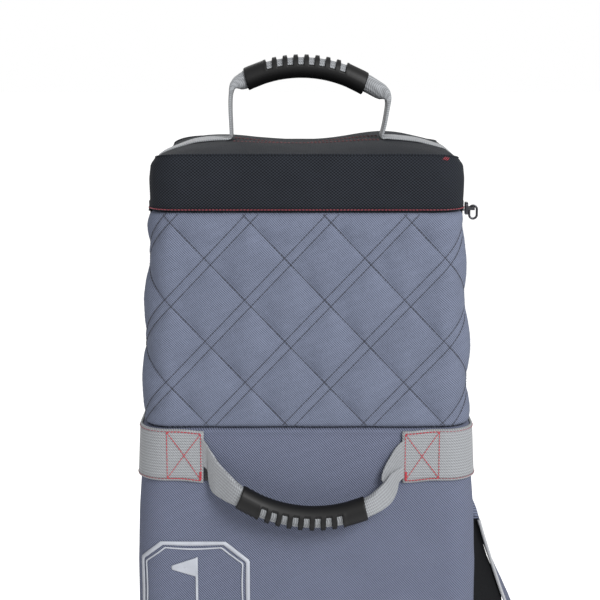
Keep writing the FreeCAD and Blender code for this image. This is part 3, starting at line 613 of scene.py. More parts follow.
def quilt_seam_lines(low, high):
    """Flat lines of every quilting seam, cut to the panel."""
    lines = []
    reach = np.linspace(-13, 13, 1200)
    families = [(np.full_like(reach, i), reach) for i in range(-12, 13)]
    for i in range(-12, 13):
        families += [(reach, np.full_like(reach, i + off)) for off in (-PAIR_HALF, PAIR_HALF)]
    for p, q in families:
        s, z = diamond_point(p, q)
        inside = (z > low + 1) & (z < high - 1) & (np.abs(s) < QUILT.half(z) - 4)
        if inside.sum() > 6:
            s, z = s[inside], z[inside]
            rise = 1.5 * (1 - np.clip((z - QUILT_LOW[2]) / 16, 0, 1) ** 0.6) + 0.3
            lines.append(columns_of(s, z, rise - turned_in(z, low, high, 4.0)))
    return lines


quilt_low, quilt_high = make_quilt()
sew("quilt_stitching", quilt_seam_lines(quilt_low, quilt_high), QUILT, "navy_thread", "bag", "quilt_fabric",
    0.44, pitch=3.3, long=3.2)


# ---- lower fabric body --------------------------------------------------------------------------
def body_folds(points):
    """Soft hollows and bulges of the fabric, in millimetres."""
    z = points[:, 2]
    broad = wobble(points * [1, 1, 0.55], 150, 2) * 1.5
    drape = wobble(points * [1, 1, 0.16], 46, 3) * 0.9
    fine = wobble(points, 30, 4) * 0.35
    near_base = np.exp(-((z - TRAY_HIGH[2]) / 60) ** 2)
    pinch = wobble(points * [1, 1, 0.1], 16, 5) * 1.6 * near_base
    calm = np.clip((QUILT_LOW[2] - z) / 90, 0.25, 1)
    return (broad + drape + fine) * calm + pinch


def make_body():
    low, high = BODY_LOW[2] + 2, QUILT_LOW[2] - 0.6
    z = np.concatenate([np.arange(low, high - 8, 6.5), high - np.array([7.0, 5.0, 3.2, 1.6, 0.6, 0.0])])
    turns = 192
    share = np.linspace(-1, 1, turns, endpoint=False)
    flat = np.zeros((len(z), turns, 3))
    flat[..., 1] = z[:, None]
    flat[..., 0] = share[None] * BODY.half(z)[:, None]
    points = BODY.wrap(flat).reshape(-1, 3)
    folds = body_folds(points).reshape(flat.shape[:2])
    # The hem under the quilted panel stands out as a slim roll.
    hem = 1.3 * np.exp(-((high - 3.0 - flat[..., 1]) / 2.6) ** 2)
    folded_in = np.where(flat[..., 1] > high - 2.0, 2.0 * (flat[..., 1] - high + 2.0), 0)
    behind_tray = np.clip((TRAY_HIGH[2] + 6 - flat[..., 1]) / 8, 0, 1)
    flat[..., 2] = (folds + hem - folded_in) * (1 - behind_tray) - 1.0 * behind_tray
    outer = BODY.wrap(flat)
    inner = flat[[0, -1]].copy()
    inner[..., 2] = -4.0
    rows = np.concatenate([BODY.wrap(inner[:1]), outer, BODY.wrap(inner[1:])])
    uv = np.concatenate([flat[:1], flat, flat[-1:]])
    uv = strip_uv(uv)
    made = make_object("body_panel", rows.reshape(-1, 3), grid_faces(len(rows), turns, False, True),
                       "body", "bag", "body_fabric", uv)
    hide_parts("body_shell", "body_foam")
    return made


make_body()


# ---- bands and straps ---------------------------------------------------------------------------
def band_loop(z0, z1, n0, n1, rounding=0.6, cells=6):
    """Closed (z, n) outline of a flat band with rounded edges, from z0 to z1 and n0 to n1."""
    outer = [(z, n1) for z in np.linspace(z0 + rounding, z1 - rounding, cells)]
    inner = [(z, n0) for z in np.linspace(z1 - rounding, z0 + rounding, cells)]
    top, bottom = (z1, (n0 + n1) / 2), (z0, (n0 + n1) / 2)
    return np.array(outer + [top] + inner + [bottom])


def band(name, section, share, loop, look, body, slot, closed=False, lift=None, rise=None):
    """A closed outline swept round a section. share, -1 to 1, is how far round from the front's middle."""
    flat = np.zeros((len(share), len(loop), 3))
    flat[..., 1] = loop[None, :, 0]
    flat[..., 0] = np.asarray(share)[:, None] * section.half(flat[..., 1])
    flat[..., 2] = loop[None, :, 1]
    if rise is not None:
        flat[..., 1] += rise(flat[..., 0])
    if lift is not None:
        flat[..., 2] += lift(section.wrap(flat).reshape(-1, 3), flat.reshape(-1, 3)).reshape(flat.shape[:2])
    rows, columns = flat.shape[:2]
    faces = grid_faces(rows, columns, True, True) if closed else tube_faces(rows, columns)
    uv = columns_of(flat[..., 1] + flat[..., 2], flat[..., 0]).reshape(-1, 2)
    return closed_object(name, section.wrap(flat).reshape(-1, 3), faces, look, body, slot, uv)


def through(values, steps):
    """Catmull-Rom curve through rows of values, with steps points between neighbours."""
    values = np.asarray(values, float)
    padded = np.concatenate([[2 * values[0] - values[1]], values, [2 * values[-1] - values[-2]]])
    t = np.linspace(0, 1, steps, endpoint=False)[:, None]
    out = []
    for a, b, c, d in zip(padded, padded[1:], padded[2:], padded[3:]):
        square, cube = 2 * a - 5 * b + 4 * c - d, 3 * b - a - 3 * c + d
        out.append(0.5 * (2 * b + (c - a) * t + square * t ** 2 + cube * t ** 3))
    return np.concatenate(out + [values[-1:]])


STRAP_SIDES = 32


def strap(name, stations, look, body, slot, steps, sheared=False):
    """Strap through stations of (centre, across, width, thickness, squareness).

    Each across is turned square to the strap's run, except on a sheared strap.
    """
    rows = [list(centre) + list(across) + [width, thickness, square]
            for centre, across, width, thickness, square in stations]
    rows = through(rows, steps)
    centre, across = rows[:, 0:3], unit(rows[:, 3:6])
    along = unit(np.gradient(centre, axis=0))
    if not sheared:
        across = unit(across - along * np.sum(across * along, 1, keepdims=True))
    through_it = unit(np.cross(along, across))
    angle = np.linspace(0, 2 * np.pi, STRAP_SIDES, endpoint=False)
    power = 2 / np.maximum(rows[:, 8:9], 2.0)
    x = np.sign(np.cos(angle)) * np.abs(np.cos(angle)) ** power * rows[:, 6:7] / 2
    y = np.sign(np.sin(angle)) * np.abs(np.sin(angle)) ** power * rows[:, 7:8] / 2
    points = centre[:, None] + across[:, None] * x[..., None] + through_it[:, None] * y[..., None]
    uv = columns_of(x + 0.3 * y, run(centre)[:, None]).reshape(-1, 2)
    faces = tube_faces(len(rows), STRAP_SIDES)
    return closed_object(name, points.reshape(-1, 3), faces, look, body, slot, uv)


# ---- linings and base -------------------------------------------------------------------------
def round_shares(count):
    """Shares of the way round the bag, -1 to 1, for a closed loop."""
    return np.linspace(-1, 1, count, endpoint=False)


def inner_wrinkles(weight):
    def lift(points, flat):
        wrinkle = wobble(points * [1, 1, 0.35], 60, 8) * 1.6 + wobble(points * [1, 1, 0.6], 22, 9) * 0.5
        return wrinkle * weight * (flat[:, 2] < -9)
    return lift


def make_linings():
    high = QUILT_HIGH[2] - 0.3
    low = box_mm("quilt_lining")[0][2]
    down = [(z, -12.8) for z in np.arange(high - 3, low, -11)]
    up = [(z, -11.8) for z in np.arange(low, high - 3, 11)]
    rim = [(high - 7, -3.0), (high - 1.4, -3.0), (high - 0.3, -4.2), (high - 0.3, -10.6), (high - 1.0, -12.2)]
    under = [(high - 1.8, -10.4), (high - 1.5, -4.4), (high - 7, -3.8)]
    made = band("collar_lining", QUILT, round_shares(168), np.array(rim + down + up + under), "lining", "bag",
                "lining_fabric", True, inner_wrinkles(0.8))
    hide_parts("quilt_lining")
    low, high = box_mm("main_lining")[0][2], box_mm("main_lining")[1][2]
    down = [(z, -10.9) for z in np.arange(high, low, -18)]
    up = [(z, -10.1) for z in np.arange(low, high, 18)]
    made = band("main_lining_cloth", BODY, round_shares(168), np.array(down + up), "lining", "bag",
                "lining_fabric", True, inner_wrinkles(1.0))
    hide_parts("main_lining")


def make_humps():
    for side in ("left", "right"):
        low, high = box_mm("housing_hump_" + side)
        middle, half = (low + high) / 2, (high - low) / 2
        u, v = np.meshgrid(np.linspace(-1, 1, 33), np.linspace(-1, 1, 33), indexing="ij")
        u, v = (np.sign(axis) * np.abs(axis) ** 0.72 for axis in (u, v))
        dome = np.maximum(1 - u ** 10, 0) ** 0.28 * np.maximum(1 - np.clip(-v, 0, 1) ** 10, 0) ** 0.28
        tall = high[2] - low[2] - 1
        points = columns_of(middle[0] + u * half[0], middle[1] + v * half[1], low[2] + dome * tall)
        points = points.reshape(-1, 3)
        points[:, 2] += wobble(points, 18, 11) * 0.8 * dome.ravel()
        made = make_object("hump_cover_" + side, points, grid_faces(33, 33)[:, ::-1], "lining", "bag",
                           "lining_fabric", points[:, :2] + points[:, [2, 2]] * [0.5, 0.8])
        modifier = made.modifiers.new("thick", "SOLIDIFY")
        modifier.thickness, modifier.offset = 1.2 * MM, -1
        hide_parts("housing_hump_" + side)


def make_base_pad():
    """The loose pad's own outline, remeshed so that its edges can be rounded and its top can dimple."""
    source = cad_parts["base_pad"]
    mesh = source.data.copy()
    pad = bpy.data.objects.new("base_cushion", mesh)
    bpy.context.scene.collection.objects.link(pad)
    remesh = pad.modifiers.new("remesh", "REMESH")
    remesh.mode, remesh.voxel_size = "VOXEL", 3.4 * MM
    solved = bpy.data.meshes.new_from_object(pad.evaluated_get(bpy.context.evaluated_depsgraph_get()))
    pad.modifiers.clear()
    pad.data = solved
    bm = bmesh.new()
    bm.from_mesh(solved)
    every_axis = {"use_axis_x": True, "use_axis_y": True, "use_axis_z": True}
    for _ in range(3):
        bmesh.ops.smooth_vert(bm, verts=bm.verts, factor=0.5, **every_axis)
    points = np.array([v.co[:] for v in bm.verts]) / MM
    dimple = wobble(points * [1, 1, 0.2], 40, 12) * 0.9
    for vertex, drop in zip(bm.verts, dimple):
        vertex.co.z += (drop - 0.3) * MM * (vertex.co.z / MM > 17)
    bm.to_mesh(solved)
    bm.free()
    solved.uv_layers.new(name="metres")
    solved.materials.clear()
    solved.materials.append(LOOK["foam"])
    solved.polygons.foreach_set("use_smooth", [True] * len(solved.polygons))
    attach(pad, "bag")
    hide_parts("base_pad")


make_linings()
make_humps()
make_base_pad()


# ---- cap ----------------------------------------------------------------------------------------
CAP = Section(
    (CAP_LOW[2], 152.6, 139.6, CORNER), (CAP_LOW[2] + 30, 153.3, 140.2, CORNER),
    (CAP_LOW[2] + 52, 151.0, 138.0, CORNER),
)
CAP_EDGE_Z = CAP_LOW[2] + 54.6
ROOF_A, ROOF_B = CAP.at(CAP_EDGE_Z)[:2]
WALL_ROWS = 16


def smoothstep(value, start, end):
    t = np.clip((value - start) / (end - start), 0, 1)
    return t * t * (3 - 2 * t)


def cap_edge(x, y):
    """(height, inset) of the seam round the cap's top panel, which drops and leans in at both sides."""
    u, v = np.abs(x / ROOF_A) ** 9, np.abs(y / ROOF_B) ** 9
    beside = u / (u + 2 * v + 1e-9)
    rear = smoothstep(y / ROOF_B, 0.0, 1.0)
    sag = 5.8 - 8.6 * np.exp(-((x - 86) / 34) ** 2) - 4.2 * np.exp(-((x + 112) / 45) ** 2)
    drop = np.where(x < 0, 5.5 + 4.5 * smoothstep(y / ROOF_B, -0.9, 0.0), 6.5)
    return CAP_EDGE_Z - drop * beside - sag * rear * (1 - beside), 1.6 + 3.9 * beside


def shoulder(z, edge_z):
    """Share of the seam's inset that the wall has reached at height z, all in its last few millimetres."""
    return smoothstep(z, edge_z - 9, edge_z + 1) ** 1.3


def roof_height(x, y):
    """Height of the cap's top panel: crowned, and slack between the two legs of its handle."""
    x, y = np.asarray(x, float), np.asarray(y, float)
    reach = np.clip((np.abs(x / ROOF_A) ** 6 + np.abs(y / ROOF_B) ** 6) ** (1 / 6), 0, 1)
    slack = 9.5 * np.exp(-((x + 8) / 60) ** 2) * (0.5 + 0.5 * smoothstep(y / ROOF_B, -0.3, 0.55))
    lean = 2.0 * np.exp(-((x - 85) / 50) ** 2) * smoothstep(y / ROOF_B, -0.4, 0.8)
    top = CAP_EDGE_Z + 6.5 - slack + lean
    edge = cap_edge(x, y)[0]
    return edge + (top - edge) * (1 - reach ** 4.5)


def cap_folds(points):
    return (wobble(points * [1, 1, 0.7], 70, 21) * 1.3 + wobble(points, 26, 22) * 0.5
            + wobble(points * [1, 1, 0.35], 13, 23) * 0.18)


def cap_line(share, z, n):
    """Points at shares of the way round the cap, at height z, standing out by n."""
    return CAP.wrap(columns_of(share * CAP.half(z), z, n))


def cap_grid(turns, wall_rows, roof_rings, depth):
    """(points, uv) of the cap's skin, depth below its outside, from the bottom edge to the roof's middle."""
    share = np.linspace(-1, 1, turns, endpoint=False)
    rows, uvs = [], []
    edge_z, inset = cap_edge(*cap_line(share, CAP_EDGE_Z, 0.0).T[:2])
    low = CAP_LOW[2] + 0.5
    for t in np.linspace(0, 1, wall_rows) ** 0.75:
        z = low + (edge_z - depth - 0.6 - low) * t
        lean = inset * shoulder(z, edge_z)
        rows.append(cap_line(share, z, -depth - lean))
        uvs.append(columns_of(share * CAP.half(z), z))
    edge = cap_line(share, CAP_EDGE_Z, -inset - depth - 0.8)
    for t in np.cos(np.linspace(0, np.pi / 2, roof_rings)):
        x, y = edge[:, 0] * t, edge[:, 1] * t
        rows.append(columns_of(x, y, roof_height(x, y) - depth))
        uvs.append(columns_of(x, y))
    rows[-1][:, :2] *= 0
    return np.array(rows), np.array(uvs)


def make_cap():
    turns = 208
    rows, uvs = cap_grid(turns, WALL_ROWS, 26, 0.0)
    folds = cap_folds(rows.reshape(-1, 3)).reshape(rows.shape[:2])
    centre = np.array([0, 0, CAP_LOW[2]])
    outward = unit(rows - centre)
    calm = np.clip((rows[..., 2] - CAP_LOW[2]) / 14, 0.1, 1)
    rows = rows + outward * (folds * calm)[..., None]
    tuck = np.array([rows[0] * [0.992, 0.992, 1] + [0, 0, -0.2], rows[0] * [0.975, 0.975, 1] + [0, 0, 0.6]])
    points = np.concatenate([tuck[::-1], rows])
    uv = np.concatenate([uvs[:1], uvs[:1], uvs])
    faces = grid_faces(len(points), turns, False, True)
    cap = make_object("cap_cover", points.reshape(-1, 3), faces, "cap", "lid", "cap_fabric",
                      uv.reshape(-1, 2))
    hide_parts("cap_shell")
    turns = 144
    inner, inner_uv = cap_grid(turns, 8, 18, 9.2)
    folds = cap_folds(inner.reshape(-1, 3)).reshape(inner.shape[:2]) * 0.8
    inner = inner + unit(inner - centre) * folds[..., None]
    inner[0, :, 2] = CAP_LOW[2] + 0.6
    rim = [cap_line(round_shares(turns), CAP_LOW[2] + z, -depth)
           for depth, z in ((2.2, 2.0), (2.4, 0.5), (3.6, 0.1), (7.0, 0.1), (8.6, 0.4))]
    points = np.concatenate([np.array(rim), inner])
    uv = np.concatenate([np.repeat(inner_uv[:1], len(rim), 0), inner_uv])
    faces = grid_faces(len(points), turns, False, True)[:, ::-1]
    lining = make_object("cap_lining", points.reshape(-1, 3), faces, "lining", "lid", "lining_fabric",
                         uv.reshape(-1, 2))
    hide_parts("cap_foam")


def make_cap_trim():
    share = round_shares(240)
    edge_z, inset = cap_edge(*cap_line(share, CAP_EDGE_Z, 0.0).T[:2])
    welt = CAP.wrap(columns_of(share * CAP.half(CAP_EDGE_Z), edge_z - 0.2, -inset - 0.1))
    welt += unit(welt - [0, 0, CAP_LOW[2]]) * cap_folds(welt)[:, None]
    mesh, faces, uv = tube_along(welt, 0.9, 8, True)
    closed_object("cap_welt", mesh, faces, "cap", "lid", "cap_fabric", uv)
    corner = ZIP_SHARE
    lines = [columns_of(np.linspace(-corner, corner, 200) * CAP.half(SEAM_Z), CAP_LOW[2] + 2.0, 0.75)]
    for side in (-1, 1):
        path = np.linspace(side * (corner + 0.03), side * 0.995, 300)
        lines.append(columns_of(path * CAP.half(SEAM_Z), CAP_LOW[2] + 10.4, 0.9))
    sew("cap_edge_stitching", lines, CAP, "dark_red_thread", "lid", "cap_fabric", 0.5, pitch=3.3, long=2.9)
    # The top panel's stitching holds the handle's webbing under it.
    pieces = []
    for y in (-24.0, -17.0, 17.0, 24.0):
        x = np.linspace(-76, 76, 120)
        mesh, faces, uv = stitches(columns_of(x, y, 0.9), 0.4, pitch=4.0)
        roof = roof_height(mesh[:, 0], mesh[:, 1])
        mesh[:, 2] += roof + cap_folds(columns_of(mesh[:, 0], mesh[:, 1], roof)) * 0.95 - 0.6
        pieces.append((mesh, faces, uv))
    mesh, faces, uv = merged(pieces)
    make_object("cap_top_stitching", mesh, faces, "faint_red_thread", "lid", "cap_fabric", uv)
    tack = [np.array([[s, CAP_EDGE_Z - 4.2 - drop, 0.3], [s + 3.4, CAP_EDGE_Z - 1.8 - drop, -0.7]])
            for s, drop in ((130.0, 0.3), (131.8, 0.8), (133.8, 1.3))]
    sew("cap_bartack", tack, CAP, "red_thread", "lid", "cap_fabric", 0.3, pitch=5.0, long=4.8)


# Zipper: from the front corner of one side, round the back, to the front corner of the other.
ZIP_SHARE = 0.0
for share_guess in np.linspace(0.2, 0.5, 600):
    if round_plan(share_guess * CAP.half(SEAM_Z), *CAP.at(SEAM_Z))[1] > box_mm("zip_tape_upper")[0][1]:
        ZIP_SHARE = float(share_guess)
        break
TOOTH_PITCH = 2.4
RIM = Section((SEAM_Z - 20, 152.5, 139.6, CORNER), (SEAM_Z + 20, 152.7, 139.8, CORNER))


def teeth_flat(at, z0, z1, n0, n1, long):
    """Rounded teeth in flat (s, z, n), one at each s."""
    cut = 0.32
    outline = [(z0, n0), (z1, n0), (z1, n1 - cut), (z1 - cut * np.sign(z1 - z0), n1), (z0, n1)]
    points, faces = [], []
    for number, s in enumerate(at):
        start = number * 4 * 5
        for offset, shrink in ((-0.5, 0.25), (-0.32, 0.0), (0.32, 0.0), (0.5, 0.25)):
            for z, n in outline:
                points.append((s + offset * long, z, n - shrink * (n > n0 + 0.1)))
        faces += [[start + index for index in face] for face in tube_faces(4, 5, True)]
    return np.array(points), faces, np.array(points)[:, :2]


def make_zip():
    reach = RIM.half(SEAM_Z)
    for name, body, low, high, n0, n1, node in (
        ("tape_lower", "bag", SEAM_Z - 8.2, SEAM_Z - 0.5, -1.6, -0.1, "zip_tape_lower"),
        ("tape_upper", "lid", SEAM_Z + 0.5, SEAM_Z + 8.4, -1.2, 0.75, "zip_tape_upper"),
    ):
        loop = band_loop(low, high, n0, n1, 0.4, 5)
        made = [band("zip_" + name + suffix, RIM, part, loop, "gusset", body, "zip_black")
                for suffix, part in (("_right", np.linspace(ZIP_SHARE, 0.9995, 120)),
                                     ("_left", np.linspace(-0.9995, -ZIP_SHARE, 120)))]
        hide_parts(node)
    count = int((1 - ZIP_SHARE) * reach / TOOTH_PITCH)
    places = (np.arange(count) + 0.5) * TOOTH_PITCH + ZIP_SHARE * reach
    for name, body, z0, z1, shift, node in (
        ("zip_teeth_row_lower", "bag", SEAM_Z - 1.9, SEAM_Z - 0.15, 0.0, "zip_teeth_lower"),
        ("zip_teeth_row_upper", "lid", SEAM_Z + 1.9, SEAM_Z + 0.15, TOOTH_PITCH / 2, "zip_teeth_upper"),
    ):
        at = np.concatenate([places + shift, -places - shift])
        mesh, faces, uv = teeth_flat(at, z0, z1, -0.4, 1.5, 1.5)
        made = closed_object(name, RIM.wrap(mesh), faces, "zip_black", body, "zip_black", uv)
        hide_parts(node)


make_cap()
make_cap_trim()
make_zip()


# ---- webbing belt, painted shade patches and the straps on the cap ------------------------------
BELT_END = {-1: 101.4, 1: 94.8}


def belt_rise(s):
    """The belt's ends droop a little from the line it keeps round the bag."""
    return 2.3 * smoothstep(np.abs(s), 100, 128)


def over_folds(share):
    def lift(points, flat):
        return body_folds(points) * share
    return lift


def make_belt():
    middle = (BELT_LOW[2] + BELT_HIGH[2]) / 2
    loop = band_loop(BELT_LOW[2], BELT_HIGH[2], 0.4, 3.0, 0.7, 10)
    rows, box_x = [], []
    for side, word in ((-1, "left"), (1, "right")):
        share = side * np.linspace(BELT_END[side] / BODY.half(middle), 0.9998, 130)
        made = band("belt_" + word, BODY, share, loop, "webbing", "bag", "webbing", False, over_folds(0.6),
                    belt_rise)
        for z in (BELT_LOW[2] + 2.4, BELT_HIGH[2] - 2.4):
            s = np.linspace(side * (BELT_END[side] + 2.5), side * 0.995 * BODY.half(middle), 400)
            rows.append(columns_of(s, z, 3.2))
        inner, outer = BELT_END[side] + 2.6, BELT_END[side] + 36.0
        low, high = BELT_LOW[2] + 2.8, BELT_HIGH[2] - 2.8
        corners = [(inner, low), (outer, low), (outer, high), (inner, high), (inner, low)]
        paths = list(zip(corners, corners[1:])) + [(corners[0], corners[2]), (corners[1], corners[3])]
        for (s0, z0), (s1, z1) in paths:
            box_x.append(np.array([[side * s0, z0, 3.35], [side * s1, z1, 3.35]]))
        for step in range(3):
            s = side * (inner + 0.7 * step)
            box_x.append(np.array([[s, low + 0.5, 3.6], [s + 0.3, low + 9.0, 3.6]]))
    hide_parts("handle_belt")
    for name, lines, look, radius in (("belt_edge_stitching", rows, "dark_red_thread", 0.36),
                                      ("belt_box_stitching", box_x, "red_thread", 0.46)):
        mesh, faces, uv = merged([stitches(line, radius, pitch=3.3, long=2.9) for line in lines])
        mesh[:, 1] += belt_rise(mesh[:, 0])
        mesh[:, 2] += body_folds(BODY.wrap(mesh)) * 0.6
        make_object(name, BODY.wrap(mesh), faces, look, "bag", "webbing", uv)


def make_gap_shade_patches():
    """Dark strips under the belt's ends, beside the handle: painted shade of the gap under each lifted belt
    end.
    """
    low = box_mm("handle_backing_patches")[0][2]
    loop = band_loop(low - 1.0, low + 12.0, 0.3, 1.9, 0.4, 8)
    for side, word in ((-1, "left"), (1, "right")):
        share = side * np.linspace(BELT_END[side] - 12.0, BELT_END[side] - 0.4, 6) / BODY.half(low)
        made = band("backing_patch_" + word, BODY, share, loop, "dark_webbing", "bag", "dark_webbing", False,
                    over_folds(0.6))
    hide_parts("handle_backing_patches")


LEG_FOOT_X = {-1: 77.6, 1: 78.6}
LEG_FOOT_Z = float(roof_height(78.0, 0.0)) + 2.6


def make_cross_webbing():
    """Webbing that comes down from each leg of the top handle, over the cap's top and down its side."""
    for side, word in ((-1, "left"), (1, "right")):
        foot_x = LEG_FOOT_X[side]
        path = [(foot_x, LEG_FOOT_Z + 0.4), (foot_x + 0.6, LEG_FOOT_Z - 1.4)]
        edge_z, inset = (float(value) for value in cap_edge(ROOF_A, 0.0))
        for x in np.linspace(foot_x + 4.5, ROOF_A - inset - 3, 16):
            press = 1.3 * float(smoothstep(x, 112, 136))
            path.append((x, float(roof_height(side * x, 0.0)) + 1.5 - press))
        for z in np.linspace(edge_z - 3, CAP_LOW[2] + 9.5, 9):
            lean = inset * float(shoulder(z, edge_z))
            path.append((float(CAP.at(z)[0]) - lean + 1.4, z))
        stations = [((side * x, 0.0, z), (0.0, 1.0, 0.0), 40.0, 2.2, 9.0) for x, z in path]
        made = strap("cross_strap_" + word, stations, "webbing", "lid", "webbing", 4)
        points = np.zeros(len(made.data.vertices) * 3)
        made.data.vertices.foreach_get("co", points)
        points = points.reshape(-1, 3) / MM
        roof = np.abs(points[:, 0]) < ROOF_A - inset - 3
        sag = np.where(roof, roof_height(points[:, 0], points[:, 1]) - roof_height(points[:, 0], 0.0), 0.0)
        fade = np.clip((np.abs(points[:, 0]) - foot_x) / 14, 0, 1)
        points[:, 2] += (sag + cap_folds(points) * 0.8) * fade
        made.data.vertices.foreach_set("co", (points * MM).ravel())
        made.data.update()
        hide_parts("cross_webbing_" + word)


make_belt()
make_gap_shade_patches()
make_cross_webbing()


# ---- carry handles ------------------------------------------------------------------------------
GRIP_ARC_R, GRIP_HALF_ANGLE = 130.0, math.radians(28.5)
GRIP_R, CORE_R = 12.3, 9.4
SLOT_PITCH, SLOT_WIDTH, SLOTS = math.radians(4.75), math.radians(2.65), 8
RIB_LEAN = 0.62                 # ribs and end faces fan out less than the arc itself


class Tilt:
    """Turns and shifts points in the handle's own upright plane."""

    def __init__(self, centre, degrees, shift):
        self.centre, self.shift = np.array(centre, float), np.array(shift, float)
        self.cos, self.sin = math.cos(math.radians(degrees)), math.sin(math.radians(degrees))

    def __call__(self, points):
        points = np.asarray(points, float)
        x, y, z = np.moveaxis(points - self.centre * [1, 0, 1], -1, 0)
        turned = columns_of(x * self.cos + z * self.sin, y, z * self.cos - x * self.sin)
        return turned + self.centre * [1, 0, 1] + self.shift


def grip_sleeve(name, arc_centre, upward, tilt, body, node, slot_turn):
    """Moulded sleeve along an arc. Slots across its outer side show the rolled strap between ribs."""
    edges = []
    for number in range(SLOTS):
        middle = (number - (SLOTS - 1) / 2) * SLOT_PITCH
        edges += [middle - SLOT_WIDTH / 2, middle + SLOT_WIDTH / 2]
    soft = 0.55 / GRIP_ARC_R
    at = {-GRIP_HALF_ANGLE, GRIP_HALF_ANGLE}
    for edge in edges:
        at |= {edge + soft * k for k in (-1.5, -0.9, -0.45, 0.0, 0.45, 0.9, 1.5)}
    for number in range(SLOTS + 1):
        at.add((number - SLOTS / 2) * SLOT_PITCH)
    collar = edges[-1] + 2.3 / GRIP_ARC_R
    for end in (-1, 1):
        at |= {end * (collar + k / GRIP_ARC_R) for k in (-0.3, 0.0, 0.3, 0.7, 3.0)}
        at |= {end * (GRIP_HALF_ANGLE - k / GRIP_ARC_R) for k in (0.2, 0.6, 1.2, 2.2, 5.0)}
    along = np.array(sorted(at))
    around = np.linspace(-np.pi, np.pi, 72, endpoint=False)
    depth = np.zeros_like(along)
    for number in range(SLOTS):
        middle = (number - (SLOTS - 1) / 2) * SLOT_PITCH
        inside = (SLOT_WIDTH / 2 - np.abs(along - middle)) / (soft * 0.9)
        depth = np.maximum(depth, np.clip(0.5 + inside * 0.5, 0, 1))
    reach = np.clip((np.cos(around) * 1.0 - 0.10) / 0.22, 0, 1)
    reach = reach * reach * (3 - 2 * reach)
    drop = depth[:, None] * reach[None]
    rib = np.clip(1 - (np.abs(along) - collar) / (1.0 / GRIP_ARC_R), 0, 1)
    radius = GRIP_R - 0.55 * (1 - rib)[:, None] * np.clip(np.cos(around), 0, 1)[None] ** 0.5
    radius = radius - drop * (radius - CORE_R + 0.9)
    lip = np.clip((GRIP_HALF_ANGLE - np.abs(along)) * GRIP_ARC_R / 1.6, 0, 1)
    radius = radius - (1.3 * (1 - np.sqrt(np.maximum(1 - (1 - lip) ** 2, 0))))[:, None]
    palm = np.clip(-np.cos(around), 0, 1)[None] ** 3
    radius = radius - 0.35 * palm
    rows = [np.full_like(around, CORE_R - 0.5), np.full_like(around, CORE_R + 0.7)] + list(radius)
    rows += [np.full_like(around, CORE_R + 0.7), np.full_like(around, CORE_R - 0.5)]
    radius = np.array(rows)
    tuck = 1.5 / GRIP_ARC_R
    along = np.concatenate([[along[0] + tuck, along[0]], along, [along[-1], along[-1] - tuck]])
    phi = around + slot_turn
    outward = columns_of(np.sin(along), 0.0, upward * np.cos(along))
    lean = along * RIB_LEAN
    facing = columns_of(np.sin(lean), 0.0, upward * np.cos(lean))
    ring = (facing[:, None] * np.cos(phi)[None, :, None] + np.array([0, 1.0, 0]) * np.sin(phi)[None, :, None])
    points = np.array(arc_centre) + outward[:, None] * GRIP_ARC_R + ring * radius[..., None]
    uv = columns_of(phi[None] * GRIP_R, along[:, None] * GRIP_ARC_R).reshape(-1, 2)
    made = closed_object(name, tilt(points.reshape(-1, 3)), grid_faces(len(along), 72, False, True), "rubber",
                         body, "grip_rubber", uv)
    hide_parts(node)


def core_stations(arc_centre, upward, tilt):
    """Stations of the rolled strap inside a grip."""
    made = []
    for angle in np.linspace(-GRIP_HALF_ANGLE, GRIP_HALF_ANGLE, 12):
        outward = np.array([math.sin(angle), 0.0, upward * math.cos(angle)])
        point = tilt(np.array(arc_centre) + outward * GRIP_ARC_R)
        made.append((tuple(point), (0.0, 1.0, 0.0), 2 * CORE_R, 2 * CORE_R, 2.0))
    return made


def make_top_handle():
    arc_centre = (0.0, 0.0, box_mm("top_handle_grip")[1][2] - GRIP_R - GRIP_ARC_R)
    tilt = Tilt((0, 0, arc_centre[2] + GRIP_ARC_R * math.cos(GRIP_HALF_ANGLE)), 2.2, (-0.4, 0, 0.6))
    grip_sleeve("top_grip_sleeve", arc_centre, 1, tilt, "top_handle", "top_handle_grip", 0.0)
    core = core_stations(arc_centre, 1, tilt)
    made = strap("top_grip_core", core, "webbing", "top_handle", "webbing", 4)
    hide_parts("top_handle_strap")
    foot = LEG_FOOT_Z
    # (x, height above the foot, width, thickness, squareness): flat webbing that folds in and rolls up.
    legs = {
        -1: [(-LEG_FOOT_X[-1], 0, 40, 2.6, 8), (-78, 12, 40, 2.8, 8), (-78.5, 24, 39.5, 3, 8),
             (-78.5, 37, 39, 3.4, 7), (-77.5, 46, 36, 4.4, 6), (-75.5, 51.5, 31, 8, 4),
             (-71.5, 54.5, 25, 13.5, 2.9), (-67, 56, 20.5, 17, 2.3), (-62, 58, 19, 18.2, 2.1),
             (-57, 60.5, 18.6, 18.4, 2)],
        1: [(LEG_FOOT_X[1], 0, 40, 2.6, 8), (81.5, 11, 40, 3, 8), (83.5, 22, 39.5, 3.4, 8),
            (85, 32, 38, 4.2, 7), (85, 38.5, 34, 7, 5), (82.5, 42.5, 28, 12.5, 3.4),
            (78, 45.5, 23, 16.6, 2.6), (71, 49.5, 20, 17.6, 2.2), (64, 53.5, 19, 18.2, 2.1),
            (57, 57, 18.6, 18.4, 2)],
    }
    for side, word in ((-1, "left"), (1, "right")):
        stations = [((x, 0.0, foot + up), (0.0, 1.0, 0.0), *size) for x, up, *size in legs[side]]
        leg = strap("top_leg_" + word, stations, "webbing", None, "webbing", 6)
        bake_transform(leg)


